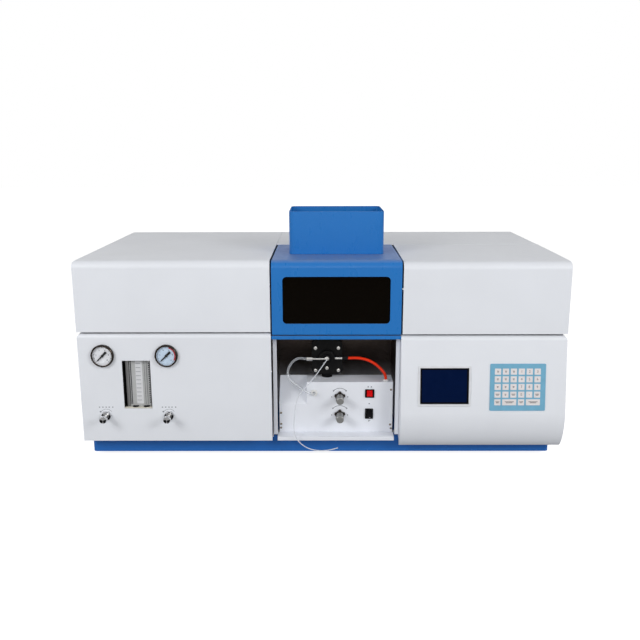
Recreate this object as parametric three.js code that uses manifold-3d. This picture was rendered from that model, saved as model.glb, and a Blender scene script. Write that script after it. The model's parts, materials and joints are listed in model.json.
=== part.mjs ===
import * as THREE from "three";
import { mergeVertices } from "three/addons/utils/BufferGeometryUtils.js";
import Module from "manifold-3d";

const wasm = await Module();
wasm.setup();

// Flame atomic absorption spectrometer for the bench. Millimetres, +Z up, front towards -Y.
// Places are measured from the middle of the width, the front plane of the covers and the bench.

// Driving dimensions of the body
const bodyWidth = 1020;
const bodyDepth = 510;
const footHeight = 9.8;
const plinthHeight = 36.6;
const lowerHeight = 236.5;
const seamHeight = 3;
const bayWidth = 271;
const bayOffset = 30.5; // middle of the burner bay, to the right of the middle of the body
const hoodDepth = 248;
const chimneyHeight = 90.7;
const sheet = 2; // wall of covers and panels
const thinSheet = 1.5; // wall of inner sheet metal
const linerSheet = 1.2;
const seat = 0.3; // gap between pieces that touch
const overrun = 5; // how far a cut runs past the face that it opens
const hingeGap = 3.5; // seam on the top, where the hinge rod lies

// Driving dimensions of the burner and the beam, stacked up from the deck
const boxHeight = 121.6; // top of the burner box above the deck
const chamberRise = 42.9; // axis of the mixing chamber above the box
const neckRise = 46.5; // top of the chamber's neck above that axis
const burnerStem = 28; // from the neck to the burner head
const headHeight = 39;
const beamGap = 13; // from the burner head to the light beam
const beamCover = 98; // from the beam to the top of the covers
const beamY = 140;
const burnerX = 11;
const liftTravel = 6; // up and down from the middle
const traverseTravel = 6; // fore and aft from the middle

// Levels and places that follow
const halfWidth = bodyWidth / 2;
const plinthBottom = footHeight + seat;
const plinthTop = plinthBottom + plinthHeight;
const deck = plinthTop + seat;
const lowerTop = deck + lowerHeight;
const upperBottom = lowerTop + seamHeight;
const boxTop = deck + boxHeight;
const chamberZ = boxTop + chamberRise;
const neckTop = chamberZ + neckRise;
const headBottom = neckTop + burnerStem;
const headTop = headBottom + headHeight;
const beamHeight = headTop + beamGap;
const bodyTop = beamHeight + beamCover;
const bayLeft = bayOffset - bayWidth / 2;
const bayRight = bayOffset + bayWidth / 2;
const coverLeftEnd = bayLeft - linerSheet - seat;
const coverRightEnd = bayRight + linerSheet + seat;
const rearCoverFront = hoodDepth + hingeGap;

// Finishes
const finish = (color, roughness, metalness = 0) =>
  new THREE.MeshStandardMaterial({ color, roughness, metalness });
const whitePaint = finish("#e6e8ec", 0.4);
const bayWhite = finish("#dfe2e8", 0.45);
const bluePaint = finish("#2b72bd", 0.35);
const plinthBlue = finish("#2a5a9c", 0.45);
const stainless = finish("#8d8a88", 0.3, 0.9);
const zincPlate = finish("#b5b8bc", 0.45, 0.8);
const chrome = finish("#d5d6d8", 0.12, 1);
const blackPlastic = finish("#17181a", 0.45);
const blackRubber = finish("#1d1d1f", 0.8);
const greyCasting = finish("#6d7074", 0.6, 0.3);
const whitePlastic = finish("#f2f2f0", 0.4);
const clearPlastic = finish("#dfe8ea", 0.1);
const smokedPane = finish("#1a1012", 0.08);
const redPlastic = finish("#d5121f", 0.35);
const redHose = finish("#e5330f", 0.4);
const keypadBlue = finish("#6fafd0", 0.5);
const screenBlue = finish("#0a1a45", 0.15);
const titanium = finish("#7f7d7a", 0.4, 0.9);

const mergeTolerance = 1e-3;
const bendSteps = 5; // chords in a rounded corner
const roundSides = 24;
const smallSides = 12;
const hexSides = 6;

// Solids

function solidOf(geometry) {
  const bare = geometry.clone();
  bare.deleteAttribute("normal");
  bare.deleteAttribute("uv");
  const merged = mergeVertices(bare, mergeTolerance);
  return new wasm.Manifold(
    new wasm.Mesh({
      numProp: 3,
      vertProperties: merged.attributes.position.array,
      triVerts: new Uint32Array(merged.index.array),
    }),
  );
}

function geometryOf(solid) {
  const mesh = solid.getMesh();
  const geometry = new THREE.BufferGeometry();
  geometry.setAttribute("position", new THREE.BufferAttribute(mesh.vertProperties, 3));
  geometry.setIndex(new THREE.BufferAttribute(mesh.triVerts, 1));
  geometry.computeVertexNormals();
  return geometry;
}

function block([x0, x1], [y0, y1], [z0, z1]) {
  const box = new THREE.BoxGeometry(x1 - x0, y1 - y0, z1 - z0);
  box.translate((x0 + x1) / 2, (y0 + y1) / 2, (z0 + z1) / 2);
  return solidOf(box);
}

// An outline from corners [a, b, radius], each rounded when it has a radius.
function outline(corners) {
  const shape = new THREE.Shape();
  corners.forEach(([a, b, radius = 0], i) => {
    const here = new THREE.Vector2(a, b);
    if (radius <= 0) {
      if (i === 0) shape.moveTo(a, b);
      else shape.lineTo(a, b);
      return;
    }
    const [pa, pb] = corners.at(i - 1);
    const [na, nb] = corners[(i + 1) % corners.length];
    const back = new THREE.Vector2(pa, pb).sub(here).normalize();
    const on = new THREE.Vector2(na, nb).sub(here).normalize();
    const half = Math.acos(THREE.MathUtils.clamp(back.dot(on), -1, 1)) / 2;
    const reach = radius / Math.tan(half);
    const centre = back.clone().add(on).normalize().multiplyScalar(radius / Math.sin(half)).add(here);
    const from = back.multiplyScalar(reach).add(here).sub(centre);
    const to = on.clone().multiplyScalar(reach).add(here).sub(centre);
    const clockwise = from.cross(to) < 0;
    shape.absarc(centre.x, centre.y, radius, from.angle(), to.angle(), clockwise);
  });
  shape.closePath();
  return shape;
}

function extruded(shape, length, right, up, out, origin) {
  const geometry = new THREE.ExtrudeGeometry(shape, {
    depth: length,
    bevelEnabled: false,
    curveSegments: bendSteps,
  });
  geometry.applyMatrix4(new THREE.Matrix4().makeBasis(right, up, out).setPosition(origin));
  return solidOf(geometry);
}

const xAxis = new THREE.Vector3(1, 0, 0);
const yAxis = new THREE.Vector3(0, 1, 0);
const zAxis = new THREE.Vector3(0, 0, 1);
const towardsFront = new THREE.Vector3(0, -1, 0);

// A prism along X from an outline of [y, z] corners, along Y from [x, z], along Z from [x, y].
const alongX = (corners, x0, x1) =>
  extruded(outline(corners), x1 - x0, yAxis, zAxis, xAxis, new THREE.Vector3(x0, 0, 0));
const alongY = (corners, y0, y1) =>
  extruded(outline(corners), y1 - y0, xAxis, zAxis, towardsFront, new THREE.Vector3(0, y1, 0));
const alongZ = (corners, z0, z1) =>
  extruded(outline(corners), z1 - z0, xAxis, yAxis, zAxis, new THREE.Vector3(0, 0, z0));

const rectangle = (a0, a1, b0, b1, radius = 0) => [
  [a0, b0, radius],
  [a1, b0, radius],
  [a1, b1, radius],
  [a0, b1, radius],
];

// A turned piece from a profile of [radius, height] pairs that starts and ends on its axis.
function turnedGeometry(profile, direction, origin, sides = roundSides) {
  const points = profile.map(([radius, height]) => new THREE.Vector2(radius, height));
  const geometry = new THREE.LatheGeometry(points, sides);
  geometry.applyQuaternion(new THREE.Quaternion().setFromUnitVectors(yAxis, direction));
  geometry.translate(...origin);
  return geometry;
}
const turned = (profile, direction, origin, sides) =>
  solidOf(turnedGeometry(profile, direction, origin, sides));
const rod = (radius, direction, origin, from, to, sides = roundSides) =>
  turned([[0, from], [radius, from], [radius, to], [0, to]], direction, origin, sides);

const union = (first, ...others) => others.reduce((whole, other) => whole.add(other), first);
const cut = (first, ...others) => others.reduce((whole, other) => whole.subtract(other), first);

const spectrometer = new THREE.Group();

function add(name, shape, material, parent = spectrometer) {
  const geometry = shape.isBufferGeometry ? shape : geometryOf(shape);
  const mesh = new THREE.Mesh(geometry, material);
  mesh.name = name;
  parent.add(mesh);
  return mesh;
}

// A folded cover: rounded along its top edges, hollow, with the named sides left open.
function coverHull(box, bends, inset, open) {
  const wall = (side) => (inset > 0 && open.includes(side) ? -overrun : inset);
  const x0 = box.left + wall("left");
  const x1 = box.right - wall("right");
  const y0 = box.front + wall("front");
  const y1 = box.rear - wall("rear");
  const z0 = box.bottom + wall("bottom");
  const z1 = box.top - wall("top");
  const bend = (radius = 0) => Math.max(radius - inset, 0);
  const fromSide = [
    [y0, z0, open.includes("bottom") && inset > 0 ? 0 : bend(bends.frontBottom)],
    [y1, z0],
    [y1, z1],
    [y0, z1 - (bends.slope ?? 0), bend(bends.frontTop)],
  ];
  const fromFront = [
    [x0, z0],
    [x1, z0],
    [x1, z1, bend(bends.rightTop)],
    [x0, z1, bend(bends.leftTop)],
  ];
  return alongX(fromSide, x0, x1).intersect(alongY(fromFront, y0, y1));
}
const cover = (box, bends, open, wall = sheet) =>
  coverHull(box, bends, 0, open).subtract(coverHull(box, bends, wall, open));

// Plinth: a blue tray with a closed deck, open through its floor, and its feet
const plinthSetback = 30;
const plinthLeftInset = 8.5;
const plinthRightInset = 15;
const plinthRearInset = 8;
const plinthWall = 2.5;
const plinthCorner = 8;
const plinthFlange = 70;

const plinthLeft = plinthLeftInset - halfWidth;
const plinthRight = halfWidth - plinthRightInset;
const plinthRear = bodyDepth - plinthRearInset;
const plinthPlan = (inset) =>
  rectangle(
    plinthLeft + inset,
    plinthRight - inset,
    plinthSetback + inset,
    plinthRear - inset,
    Math.max(plinthCorner - inset, 0),
  );

add(
  "base_plinth",
  cut(
    alongZ(plinthPlan(0), plinthBottom, plinthTop),
    alongZ(plinthPlan(plinthWall), plinthBottom + plinthWall, plinthTop - plinthWall),
    alongZ(plinthPlan(plinthFlange), plinthBottom - overrun, plinthBottom + overrun),
  ),
  plinthBlue,
);

const footRadius = 18;
const footTopRadius = 20;
const footInset = 38;
const footSetback = 90; // behind the plinth's front, out of sight
for (const [row, y] of [["front", plinthSetback + footSetback], ["rear", plinthRear - footInset]]) {
  for (const [side, x] of [["left", plinthLeft + footInset], ["right", plinthRight - footInset]]) {
    const profile = [[0, 0], [footRadius, 0], [footTopRadius, footHeight], [0, footHeight]];
    const foot = add(
      `foot_${row}_${side}`,
      turnedGeometry(profile, zAxis, [0, 0, 0], smallSides),
      blackRubber,
    );
    foot.position.set(x, y, 0);
  }
}

// Front places of the instruments on the gas panel
const gaugeDrop = 47; // middle of the gauges below the seam
const gaugeInset = 52; // middle of the first gauge from the side
const gaugePitch = 133.5;
const gaugeRadius = 24.5;
const gaugeRim = 4;
const valveRise = 57.5; // middle of the valves above the deck
const valveBore = 3.5;
const bushingWall = 1.5;
const flowInset = 91;
const flowWidth = 59.2;
const flowRise = 72.6;
const flowDrop = 58.3;
const gaugeZ = lowerTop - gaugeDrop;
const airX = gaugeInset - halfWidth;
const fuelX = airX + gaugePitch;
const gaugeBodyRadius = gaugeRadius - gaugeRim;
const valveZ = deck + valveRise;
const bushingRadius = valveBore + bushingWall;
const flowLeft = flowInset - halfWidth;
const flowWindow = {
  left: flowLeft,
  right: flowLeft + flowWidth,
  bottom: deck + flowRise,
  top: lowerTop - flowDrop,
};

// Lower shells, with a rounded shoulder under the seam
const shoulderBend = 10;
const shoulderFlange = 18;
const postGap = 1;
const rearPanelSheet = 1.7;
const shellRear = bodyDepth - rearPanelSheet - seat;

function lowerShell(box, bends, open) {
  const top = block(
    [open.includes("left") ? box.left - overrun : box.left + shoulderFlange,
      open.includes("right") ? box.right + overrun : box.right - shoulderFlange],
    [box.front + shoulderFlange, box.rear + overrun],
    [box.top - overrun, box.top + overrun],
  );
  return cover(box, bends, open).subtract(top);
}

const panelHole = (radius, x, z) =>
  rod(radius, yAxis, [x, 0, z], -overrun, sheet + overrun);
const windowCut = (opening, radius = 0) =>
  alongY(
    rectangle(opening.left, opening.right, opening.bottom, opening.top, radius),
    -overrun,
    sheet + overrun,
  );

const gasPanelBox = {
  left: -halfWidth,
  right: bayLeft - postGap,
  front: 0,
  rear: shellRear,
  bottom: deck,
  top: lowerTop,
};
add(
  "gas_panel",
  cut(
    lowerShell(gasPanelBox, { frontTop: shoulderBend, leftTop: shoulderBend }, ["right", "rear", "bottom"]),
    panelHole(gaugeBodyRadius + seat, airX, gaugeZ),
    panelHole(gaugeBodyRadius + seat, fuelX, gaugeZ),
    panelHole(bushingRadius + seat, airX, valveZ),
    panelHole(bushingRadius + seat, fuelX, valveZ),
    windowCut(flowWindow),
  ),
  whitePaint,
);

// The control panel's seam lies a little lower. Its front leans out towards the bottom and
// curls under, to end as a chin below the deck and in front of the plinth.
const lidSeamDrop = 5;
const controlLean = 0.125; // run of the front for each unit of its drop
const chinBend = 58;
const chinRise = 11.4; // corner between front and chin, above the deck
const chinFall = 12.5; // end of the chin, below the deck
const chinReach = 33.7; // from that corner back to the end
const controlSideInset = 0.5;
const curlLength = 75;
const linerFront = 22;
const controlTop = lowerTop - lidSeamDrop;
const screenWidth = 101.7;
const screenHeight = 76.5;
const screenDrop = 68; // from the seam to the screen, along the front
const keypadWidth = 115.8;
const keypadHeight = 99.6;
const keypadDrop = 58.7; // from the seam to the keypad, along the front
const screenMarginShare = 0.31; // of the panel's free width, left of the screen
const keypadMarginShare = 0.3465; // of the same width, right of the keypad
const controlFree = halfWidth - bayRight - screenWidth - keypadWidth;
const screenLeft = bayRight + controlFree * screenMarginShare;
const screenOpening = {
  left: screenLeft,
  right: screenLeft + screenWidth,
  bottom: controlTop - screenDrop - screenHeight,
  top: controlTop - screenDrop,
};
const bezelWall = 1.4;
const bezelHole = {
  left: screenOpening.left - bezelWall - seat,
  right: screenOpening.right + bezelWall + seat,
  bottom: screenOpening.bottom - bezelWall - seat,
  top: screenOpening.top + bezelWall + seat,
};
const controlLeft = bayRight - postGap;
const controlRight = halfWidth - controlSideInset;
const chinCornerZ = deck + chinRise;
const chinCornerY = (chinCornerZ - controlTop) * controlLean;
const chinEndY = chinCornerY + chinReach;
const heelRun = (chinFall * (chinRise + chinFall)) / chinReach; // the chin's edge is folded square

// Corners moved inwards, each by the walls of the two sides that meet there; wall i runs on from corner i.
const insetCorners = (corners, walls) =>
  corners.map(([a, b, radius = 0], i) => {
    const here = new THREE.Vector2(a, b);
    const into = here.clone().sub(new THREE.Vector2(...corners.at(i - 1))).normalize();
    const onwards = new THREE.Vector2(...corners[(i + 1) % corners.length]).sub(here).normalize();
    here.addScaledVector(onwards, walls.at(i - 1) / into.cross(onwards));
    here.addScaledVector(into, -walls[i] / into.cross(onwards));
    return [here.x, here.y, Math.max(radius - walls[i], 0)];
  });

const controlSide = [
  [0, controlTop, shoulderBend],
  [chinCornerY, chinCornerZ, chinBend],
  [chinEndY, deck - chinFall],
  [chinEndY + heelRun, deck],
  [shellRear, deck],
  [shellRear, controlTop],
];
const controlWalls = [sheet, sheet, sheet, sheet, -overrun, sheet];

function controlHull(corners, inset) {
  const x0 = controlLeft + inset;
  const x1 = controlRight - inset;
  const fromFront = [
    [x0, 0],
    [x1, 0],
    [x1, controlTop - inset, shoulderBend - inset],
    [x0, controlTop - inset],
  ];
  return alongX(corners, x0, x1).intersect(alongY(fromFront, -bodyDepth, bodyDepth + overrun));
}

// What is made flat at the seam leans with the front.
const leanAngle = THREE.MathUtils.radToDeg(Math.atan(controlLean));
const leaned = (solid) =>
  solid.translate([0, 0, -controlTop]).rotate([-leanAngle, 0, 0]).translate([0, 0, controlTop]);

add(
  "control_panel",
  cut(
    controlHull(controlSide, 0),
    controlHull(insetCorners(controlSide, controlWalls), sheet),
    block(
      [controlLeft - overrun, controlRight - shoulderFlange],
      [shoulderFlange, bodyDepth + overrun],
      [controlTop - overrun, controlTop + overrun],
    ),
    block(
      [controlLeft - overrun, controlRight - sheet],
      [curlLength, bodyDepth + overrun],
      [deck - overrun, deck + overrun],
    ),
    block(
      [controlLeft - overrun, coverRightEnd],
      [linerFront - seat, bodyDepth + overrun],
      [deck - overrun, controlTop + overrun],
    ),
    leaned(windowCut(bezelHole)),
  ),
  whitePaint,
);

// Upper covers
const coverBend = 16;
const sideBend = 7;
const lidSlope = 4;
add(
  "monochromator_cover",
  cover(
    {
      left: -halfWidth,
      right: coverLeftEnd,
      front: 0,
      rear: bodyDepth,
      bottom: upperBottom,
      top: bodyTop,
    },
    { frontTop: coverBend, leftTop: sideBend },
    ["right", "bottom"],
  ),
  whitePaint,
);

const lidBottom = upperBottom - lidSeamDrop;
add(
  "lamp_cover",
  cover(
    { left: coverRightEnd, right: halfWidth, front: 0, rear: hoodDepth, bottom: lidBottom, top: bodyTop },
    { frontTop: coverBend, rightTop: sideBend, slope: lidSlope },
    ["left", "rear", "bottom"],
  ),
  whitePaint,
);

add(
  "rear_top_cover",
  cover(
    {
      left: coverLeftEnd + seat,
      right: halfWidth,
      front: rearCoverFront,
      rear: bodyDepth,
      bottom: lidBottom,
      top: bodyTop,
    },
    { rightTop: sideBend },
    ["left", "front", "bottom"],
  ),
  whitePaint,
);

// Rear panel with two fields of vents and the mains inlet
const inletInset = 85;
const inletRise = 38;
const inlet = { x: halfWidth - inletInset, z: deck + inletRise, width: 50, height: 30, depth: 45 };
const inletFlange = 4;
const inletProud = 2.7;
const ventWidth = 90;
const ventHeight = 4;
const ventPitch = 14;
const ventCount = 6;
const ventRise = 103;
const ventInset = 210;
const ventBottom = deck + ventRise;
const ventX = halfWidth - ventInset;
const rearInset = 1;
const rearFront = bodyDepth - rearPanelSheet;

const vents = [];
for (const x of [-ventX, ventX]) {
  for (let i = 0; i < ventCount; i++) {
    const z = ventBottom + i * ventPitch;
    vents.push(
      block(
        [x - ventWidth / 2, x + ventWidth / 2],
        [rearFront - overrun, bodyDepth + overrun],
        [z, z + ventHeight],
      ),
    );
  }
}
const inletHole = block(
  [inlet.x - inlet.width / 2 - seat, inlet.x + inlet.width / 2 + seat],
  [rearFront - overrun, bodyDepth + overrun],
  [inlet.z - inlet.height / 2 - seat, inlet.z + inlet.height / 2 + seat],
);
add(
  "rear_panel",
  cut(
    alongY(
      [
        [rearInset - halfWidth, deck],
        [halfWidth - rearInset, deck],
        [halfWidth - rearInset, controlTop],
        [coverLeftEnd, controlTop],
        [coverLeftEnd, lowerTop],
        [rearInset - halfWidth, lowerTop],
      ],
      rearFront,
      bodyDepth,
    ),
    inletHole,
    ...vents,
  ),
  bayWhite,
);

const socketWidth = 24;
const socketHeight = 16;
const socketDepth = 14;
const inletFace = bodyDepth + seat;
add(
  "power_inlet",
  cut(
    union(
      block(
        [inlet.x - inlet.width / 2, inlet.x + inlet.width / 2],
        [inletFace - inlet.depth, inletFace],
        [inlet.z - inlet.height / 2, inlet.z + inlet.height / 2],
      ),
      block(
        [inlet.x - inlet.width / 2 - inletFlange, inlet.x + inlet.width / 2 + inletFlange],
        [inletFace, inletFace + inletProud],
        [inlet.z - inlet.height / 2 - inletFlange, inlet.z + inlet.height / 2 + inletFlange],
      ),
    ),
    block(
      [inlet.x - socketWidth / 2, inlet.x + socketWidth / 2],
      [inletFace + inletProud - socketDepth, inletFace + inletProud + overrun],
      [inlet.z - socketHeight / 2, inlet.z + socketHeight / 2],
    ),
  ),
  blackPlastic,
);

// Hinge rod in the seam on the top, shared by the hood and the lamp lid
const hingeRodRadius = 1.3;
const hingeDrop = 1.6;
const hingeY = hoodDepth + hingeGap / 2;
const hingeZ = bodyTop - hingeDrop;
add(
  "hinge_rod",
  rod(hingeRodRadius, xAxis, [0, hingeY, hingeZ], bayLeft + sheet, halfWidth - sheet, smallSides),
  zincPlate,
);

// Liner of the burner bay and flame compartment, with a beam hole in each side
const linerGap = 12; // from the liner to the rear edge of the hood
const linerRear = hoodDepth - linerGap;
const hoodFlange = 16;
const linerTop = bodyTop - hoodFlange - seat;
const beamHoleRadius = 18;
add(
  "bay_liner",
  cut(
    alongZ(
      [
        [bayLeft - linerSheet, linerFront],
        [bayLeft, linerFront],
        [bayLeft, linerRear - linerSheet],
        [bayRight, linerRear - linerSheet],
        [bayRight, linerFront],
        [bayRight + linerSheet, linerFront],
        [bayRight + linerSheet, linerRear],
        [bayLeft - linerSheet, linerRear],
      ],
      deck,
      linerTop,
    ),
    rod(beamHoleRadius, xAxis, [0, beamY, beamHeight], bayLeft - overrun, bayRight + overrun),
  ),
  stainless,
);

// Crossbar under the hood, and the frame posts behind it, joined by a foot bar
const crossbarDrop = 5.5;
const crossbarHeight = 7.6;
const crossbarTop = lowerTop - crossbarDrop;
const crossbarBottom = crossbarTop - crossbarHeight;
const crossbarFront = 1;
const crossbarDepth = 15.7;
const crossbarSideGap = 0.5;
add(
  "hood_crossbar",
  alongX(
    [
      [crossbarFront, crossbarBottom],
      [crossbarFront + crossbarDepth, crossbarBottom],
      [crossbarFront + crossbarDepth, crossbarBottom + thinSheet],
      [crossbarFront + thinSheet, crossbarBottom + thinSheet],
      [crossbarFront + thinSheet, crossbarTop - thinSheet],
      [crossbarFront + crossbarDepth, crossbarTop - thinSheet],
      [crossbarFront + crossbarDepth, crossbarTop],
      [crossbarFront, crossbarTop],
    ],
    bayLeft + crossbarSideGap,
    bayRight - postGap - crossbarSideGap,
  ),
  bluePaint,
);

const postWidth = 8.2;
const postInset = 1.5;
const postRise = 7.5;
const postBottom = deck + postRise;
const postDepth = 43;
const footBarFront = 45;
const postFront = crossbarFront + crossbarDepth + seat;
const postRear = postFront + postDepth;
function post(outer, inwards) {
  const face = outer + inwards * postWidth;
  const web = outer + inwards * thinSheet;
  const span = (a, b) => [Math.min(a, b), Math.max(a, b)];
  return union(
    block(span(outer, face), [postFront, postFront + thinSheet], [postBottom, crossbarTop]),
    block(span(outer, web), [postFront, postRear], [postBottom, crossbarTop]),
    block(span(outer, web), [footBarFront, postRear], [deck, crossbarTop]),
  );
}
const frameLeft = bayLeft + postInset;
const frameRight = bayRight - postInset;
add(
  "bay_frame",
  union(
    post(frameLeft, 1),
    post(frameRight, -1),
    block([frameLeft, frameRight], [footBarFront, postRear], [deck, deck + thinSheet]),
  ),
  bayWhite,
);

// Ledge in front of the burner box, folded from one sheet
const boxFront = 30;
const boxLeftGap = 13;
const boxRightGap = 13.6;
const boxLeft = bayLeft + boxLeftGap;
const boxRight = bayRight - boxRightGap;
const ledgeLeftGap = 10;
const ledgeRightGap = 12.2;
const ledgeLeft = bayLeft + ledgeLeftGap;
const ledgeRight = bayRight - ledgeRightGap;
const ledgeHeight = 8.7;
const ledgeRear = boxFront - seat;
const ledgeFlange = 12.3;
const ledgeFlangeRear = ledgeRear + ledgeFlange;
add(
  "front_ledge",
  alongX(
    [
      [0, deck],
      [thinSheet, deck],
      [thinSheet, deck + ledgeHeight - thinSheet],
      [ledgeRear - thinSheet, deck + ledgeHeight - thinSheet],
      [ledgeRear - thinSheet, deck],
      [ledgeFlangeRear, deck],
      [ledgeFlangeRear, deck + thinSheet],
      [ledgeRear, deck + thinSheet],
      [ledgeRear, deck + ledgeHeight],
      [0, deck + ledgeHeight],
    ],
    ledgeLeft,
    ledgeRight,
  ),
  bayWhite,
);

// Burner box: square on the right, with a sloped top on the left
const boxDepth = 52;
const boxRear = boxFront + boxDepth;
const slopeWidth = 59.6;
const slopeDrop = 49.6; // front edge of the slope below the box top
const boxStep = boxLeft + slopeWidth;
const slopeFoot = boxTop - slopeDrop;
const boxBottom = deck + thinSheet + seat;
const capSetback = 28; // from the box front to the end cap
const capFront = boxFront + capSetback;
const drainSetback = 22; // from the end cap's front to the drain
const drainRadius = 11;
const drainY = capFront + drainSetback;
const drainGap = 0.8;
const knobOffset = 27.5;
const heightKnobDrop = 32.7;
const knobPitch = 41.2;
const knobX = burnerX + knobOffset;
const heightKnobZ = boxTop - heightKnobDrop;
const traverseKnobZ = heightKnobZ - knobPitch;
const shaftRadius = 3;
const shaftGap = 0.4;
const bushOffset = 27.8;
const bushDrop = 24;
const bush = { x: burnerX - bushOffset, z: boxTop - bushDrop };
const grommetInset = 14.9;
const grommetSetback = 8.5;
const grommet = { x: boxRight - grommetInset, y: boxFront + grommetSetback };
const airTubeRadius = 2.5;
const socketGap = 0.4;
const bushWall = 2.1;
const bushBore = airTubeRadius + socketGap;
const bushHoleRadius = bushBore + bushWall;

function boxHull(inset) {
  const front = boxFront + inset;
  const rear = boxRear + (inset > 0 ? overrun : 0);
  const bottom = boxBottom - (inset > 0 ? overrun : 0);
  const top = boxTop - inset;
  const rise = (boxTop - slopeFoot) / (boxRear - boxFront);
  const reach = (rise * boxFront - slopeFoot) / Math.hypot(1, rise) + inset;
  return union(
    block([boxStep + inset, boxRight - inset], [front, rear], [bottom, top]),
    block([boxLeft + inset, boxStep + overrun], [front, rear], [bottom, top])
      .trimByPlane([0, rise, -1], reach),
  );
}

// The drain's slot is open to the rear, so that the box comes off to the front.
const drainSlotHalf = drainRadius + drainGap;
const slotEndY = drainY - traverseTravel;
const drainSlot = union(
  block(
    [burnerX - drainSlotHalf, burnerX + drainSlotHalf],
    [slotEndY, boxRear + overrun],
    [boxTop - overrun, boxTop + overrun],
  ),
  rod(drainSlotHalf, zAxis, [burnerX, slotEndY, boxTop], -overrun, overrun),
);
const boxHole = (radius, x, z) =>
  rod(radius, yAxis, [x, boxFront, z], -overrun, thinSheet + overrun, smallSides);

// Switches: a frame with a rocker that tips about a pivot across it
const rockerInset = 49.7; // middle of the upper switch from the box's right side
const rockerStep = 0.9;
const rockerDrop = 25.5;
const rockerPitch = 45.7;
const rockerX = boxRight - rockerInset;
const rockerZ = boxTop - rockerDrop;
const rockerFrames = {
  ignition: { x: rockerX, z: rockerZ, width: 20, height: 18.6, rocker: redPlastic, margin: 2.7 },
  power: {
    x: rockerX - rockerStep,
    z: rockerZ - rockerPitch,
    width: 17.4,
    height: 23,
    rocker: blackPlastic,
    margin: 3.2,
  },
};
const framePlate = 2.2;
const frameLip = 1.7;
const frameDepth = 19;
const rockerSideGap = 0.4;
const rockerRim = 2.4;
const pivotDepth = 3;
const rockerDish = 1.3;
const rockerBack = 3;
const rockerTilt = THREE.MathUtils.degToRad(7);
const bodyHole = (frame) =>
  block(
    [frame.x - frame.width / 2 + frameLip - seat, frame.x + frame.width / 2 - frameLip + seat],
    [boxFront - overrun, boxFront + overrun],
    [frame.z - frame.height / 2 + frameLip / 2 - seat, frame.z + frame.height / 2 - frameLip / 2 + seat],
  );

add(
  "burner_box",
  cut(
    cut(boxHull(0), boxHull(thinSheet)),
    drainSlot,
    boxHole(shaftRadius + shaftGap, knobX, heightKnobZ),
    boxHole(shaftRadius + shaftGap, knobX, traverseKnobZ),
    boxHole(bushHoleRadius + seat, bush.x, bush.z),
    rod(bushHoleRadius + seat, zAxis, [grommet.x, grommet.y, boxTop], -overrun, overrun, smallSides),
    bodyHole(rockerFrames.ignition),
    bodyHole(rockerFrames.power),
  ),
  bayWhite,
);

for (const [name, frame] of Object.entries(rockerFrames)) {
  const group = new THREE.Group();
  group.position.set(frame.x, boxFront, frame.z);
  spectrometer.add(group);
  const halfW = frame.width / 2;
  const halfH = frame.height / 2;
  const opening = halfW - rockerRim;
  const rockerHalf = halfH - frame.margin;
  const rimZ = (halfH + rockerHalf) / 2;
  add(
    `${name}_switch_frame`,
    cut(
      union(
        block([-halfW, halfW], [-seat - framePlate, -seat], [-halfH, halfH]),
        block(
          [frameLip - halfW, halfW - frameLip],
          [-seat - framePlate, frameDepth],
          [frameLip / 2 - halfH, halfH - frameLip / 2],
        ),
      ),
      block([-opening, opening], [-overrun, frameDepth - framePlate], [-rimZ, rimZ]),
    ),
    blackPlastic,
    group,
  );
  const reach = pivotDepth + seat + framePlate + rockerDish;
  const rocker = add(
    `${name}_rocker`,
    alongX(
      [
        [-reach, -rockerHalf],
        [rockerBack - pivotDepth, -rockerHalf],
        [rockerBack, 0],
        [rockerBack - pivotDepth, rockerHalf],
        [-reach, rockerHalf],
        [rockerDish - reach, 0],
      ],
      rockerSideGap - opening,
      opening - rockerSideGap,
    ),
    frame.rocker,
    group,
  );
  rocker.position.set(0, pivotDepth, 0);
  rocker.rotation.x = -rockerTilt;
}

// Adjusting knobs of the burner, each on a shaft through the box front
const knobReach = 33;
const knobRadius = 8;
const knobFlangeWidth = 4;
const knobFlangeRadius = knobRadius + knobFlangeWidth;
const knobFlange = 7;
const knobBevel = 1;
const shaftLength = 15;
for (const [name, z] of [["height_knob", heightKnobZ], ["traverse_knob", traverseKnobZ]]) {
  const knob = add(
    name,
    turnedGeometry(
      [
        [0, -shaftLength],
        [shaftRadius, -shaftLength],
        [shaftRadius, seat],
        [knobFlangeRadius, seat],
        [knobFlangeRadius, knobFlange - knobBevel],
        [knobFlangeRadius - knobBevel, knobFlange],
        [knobRadius, knobFlange],
        [knobRadius, knobReach - knobBevel],
        [knobRadius - knobBevel, knobReach],
        [0, knobReach],
      ],
      towardsFront,
      [0, 0, 0],
    ),
    chrome,
  );
  knob.position.set(knobX, boxFront, z);
}

// Hoses: radii, and the fittings in the box that they run into
const fuelHoseRadius = 3;
const capillaryRadius = 1;
const socketReach = 4; // how deep a hose end sits in its fitting

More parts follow.
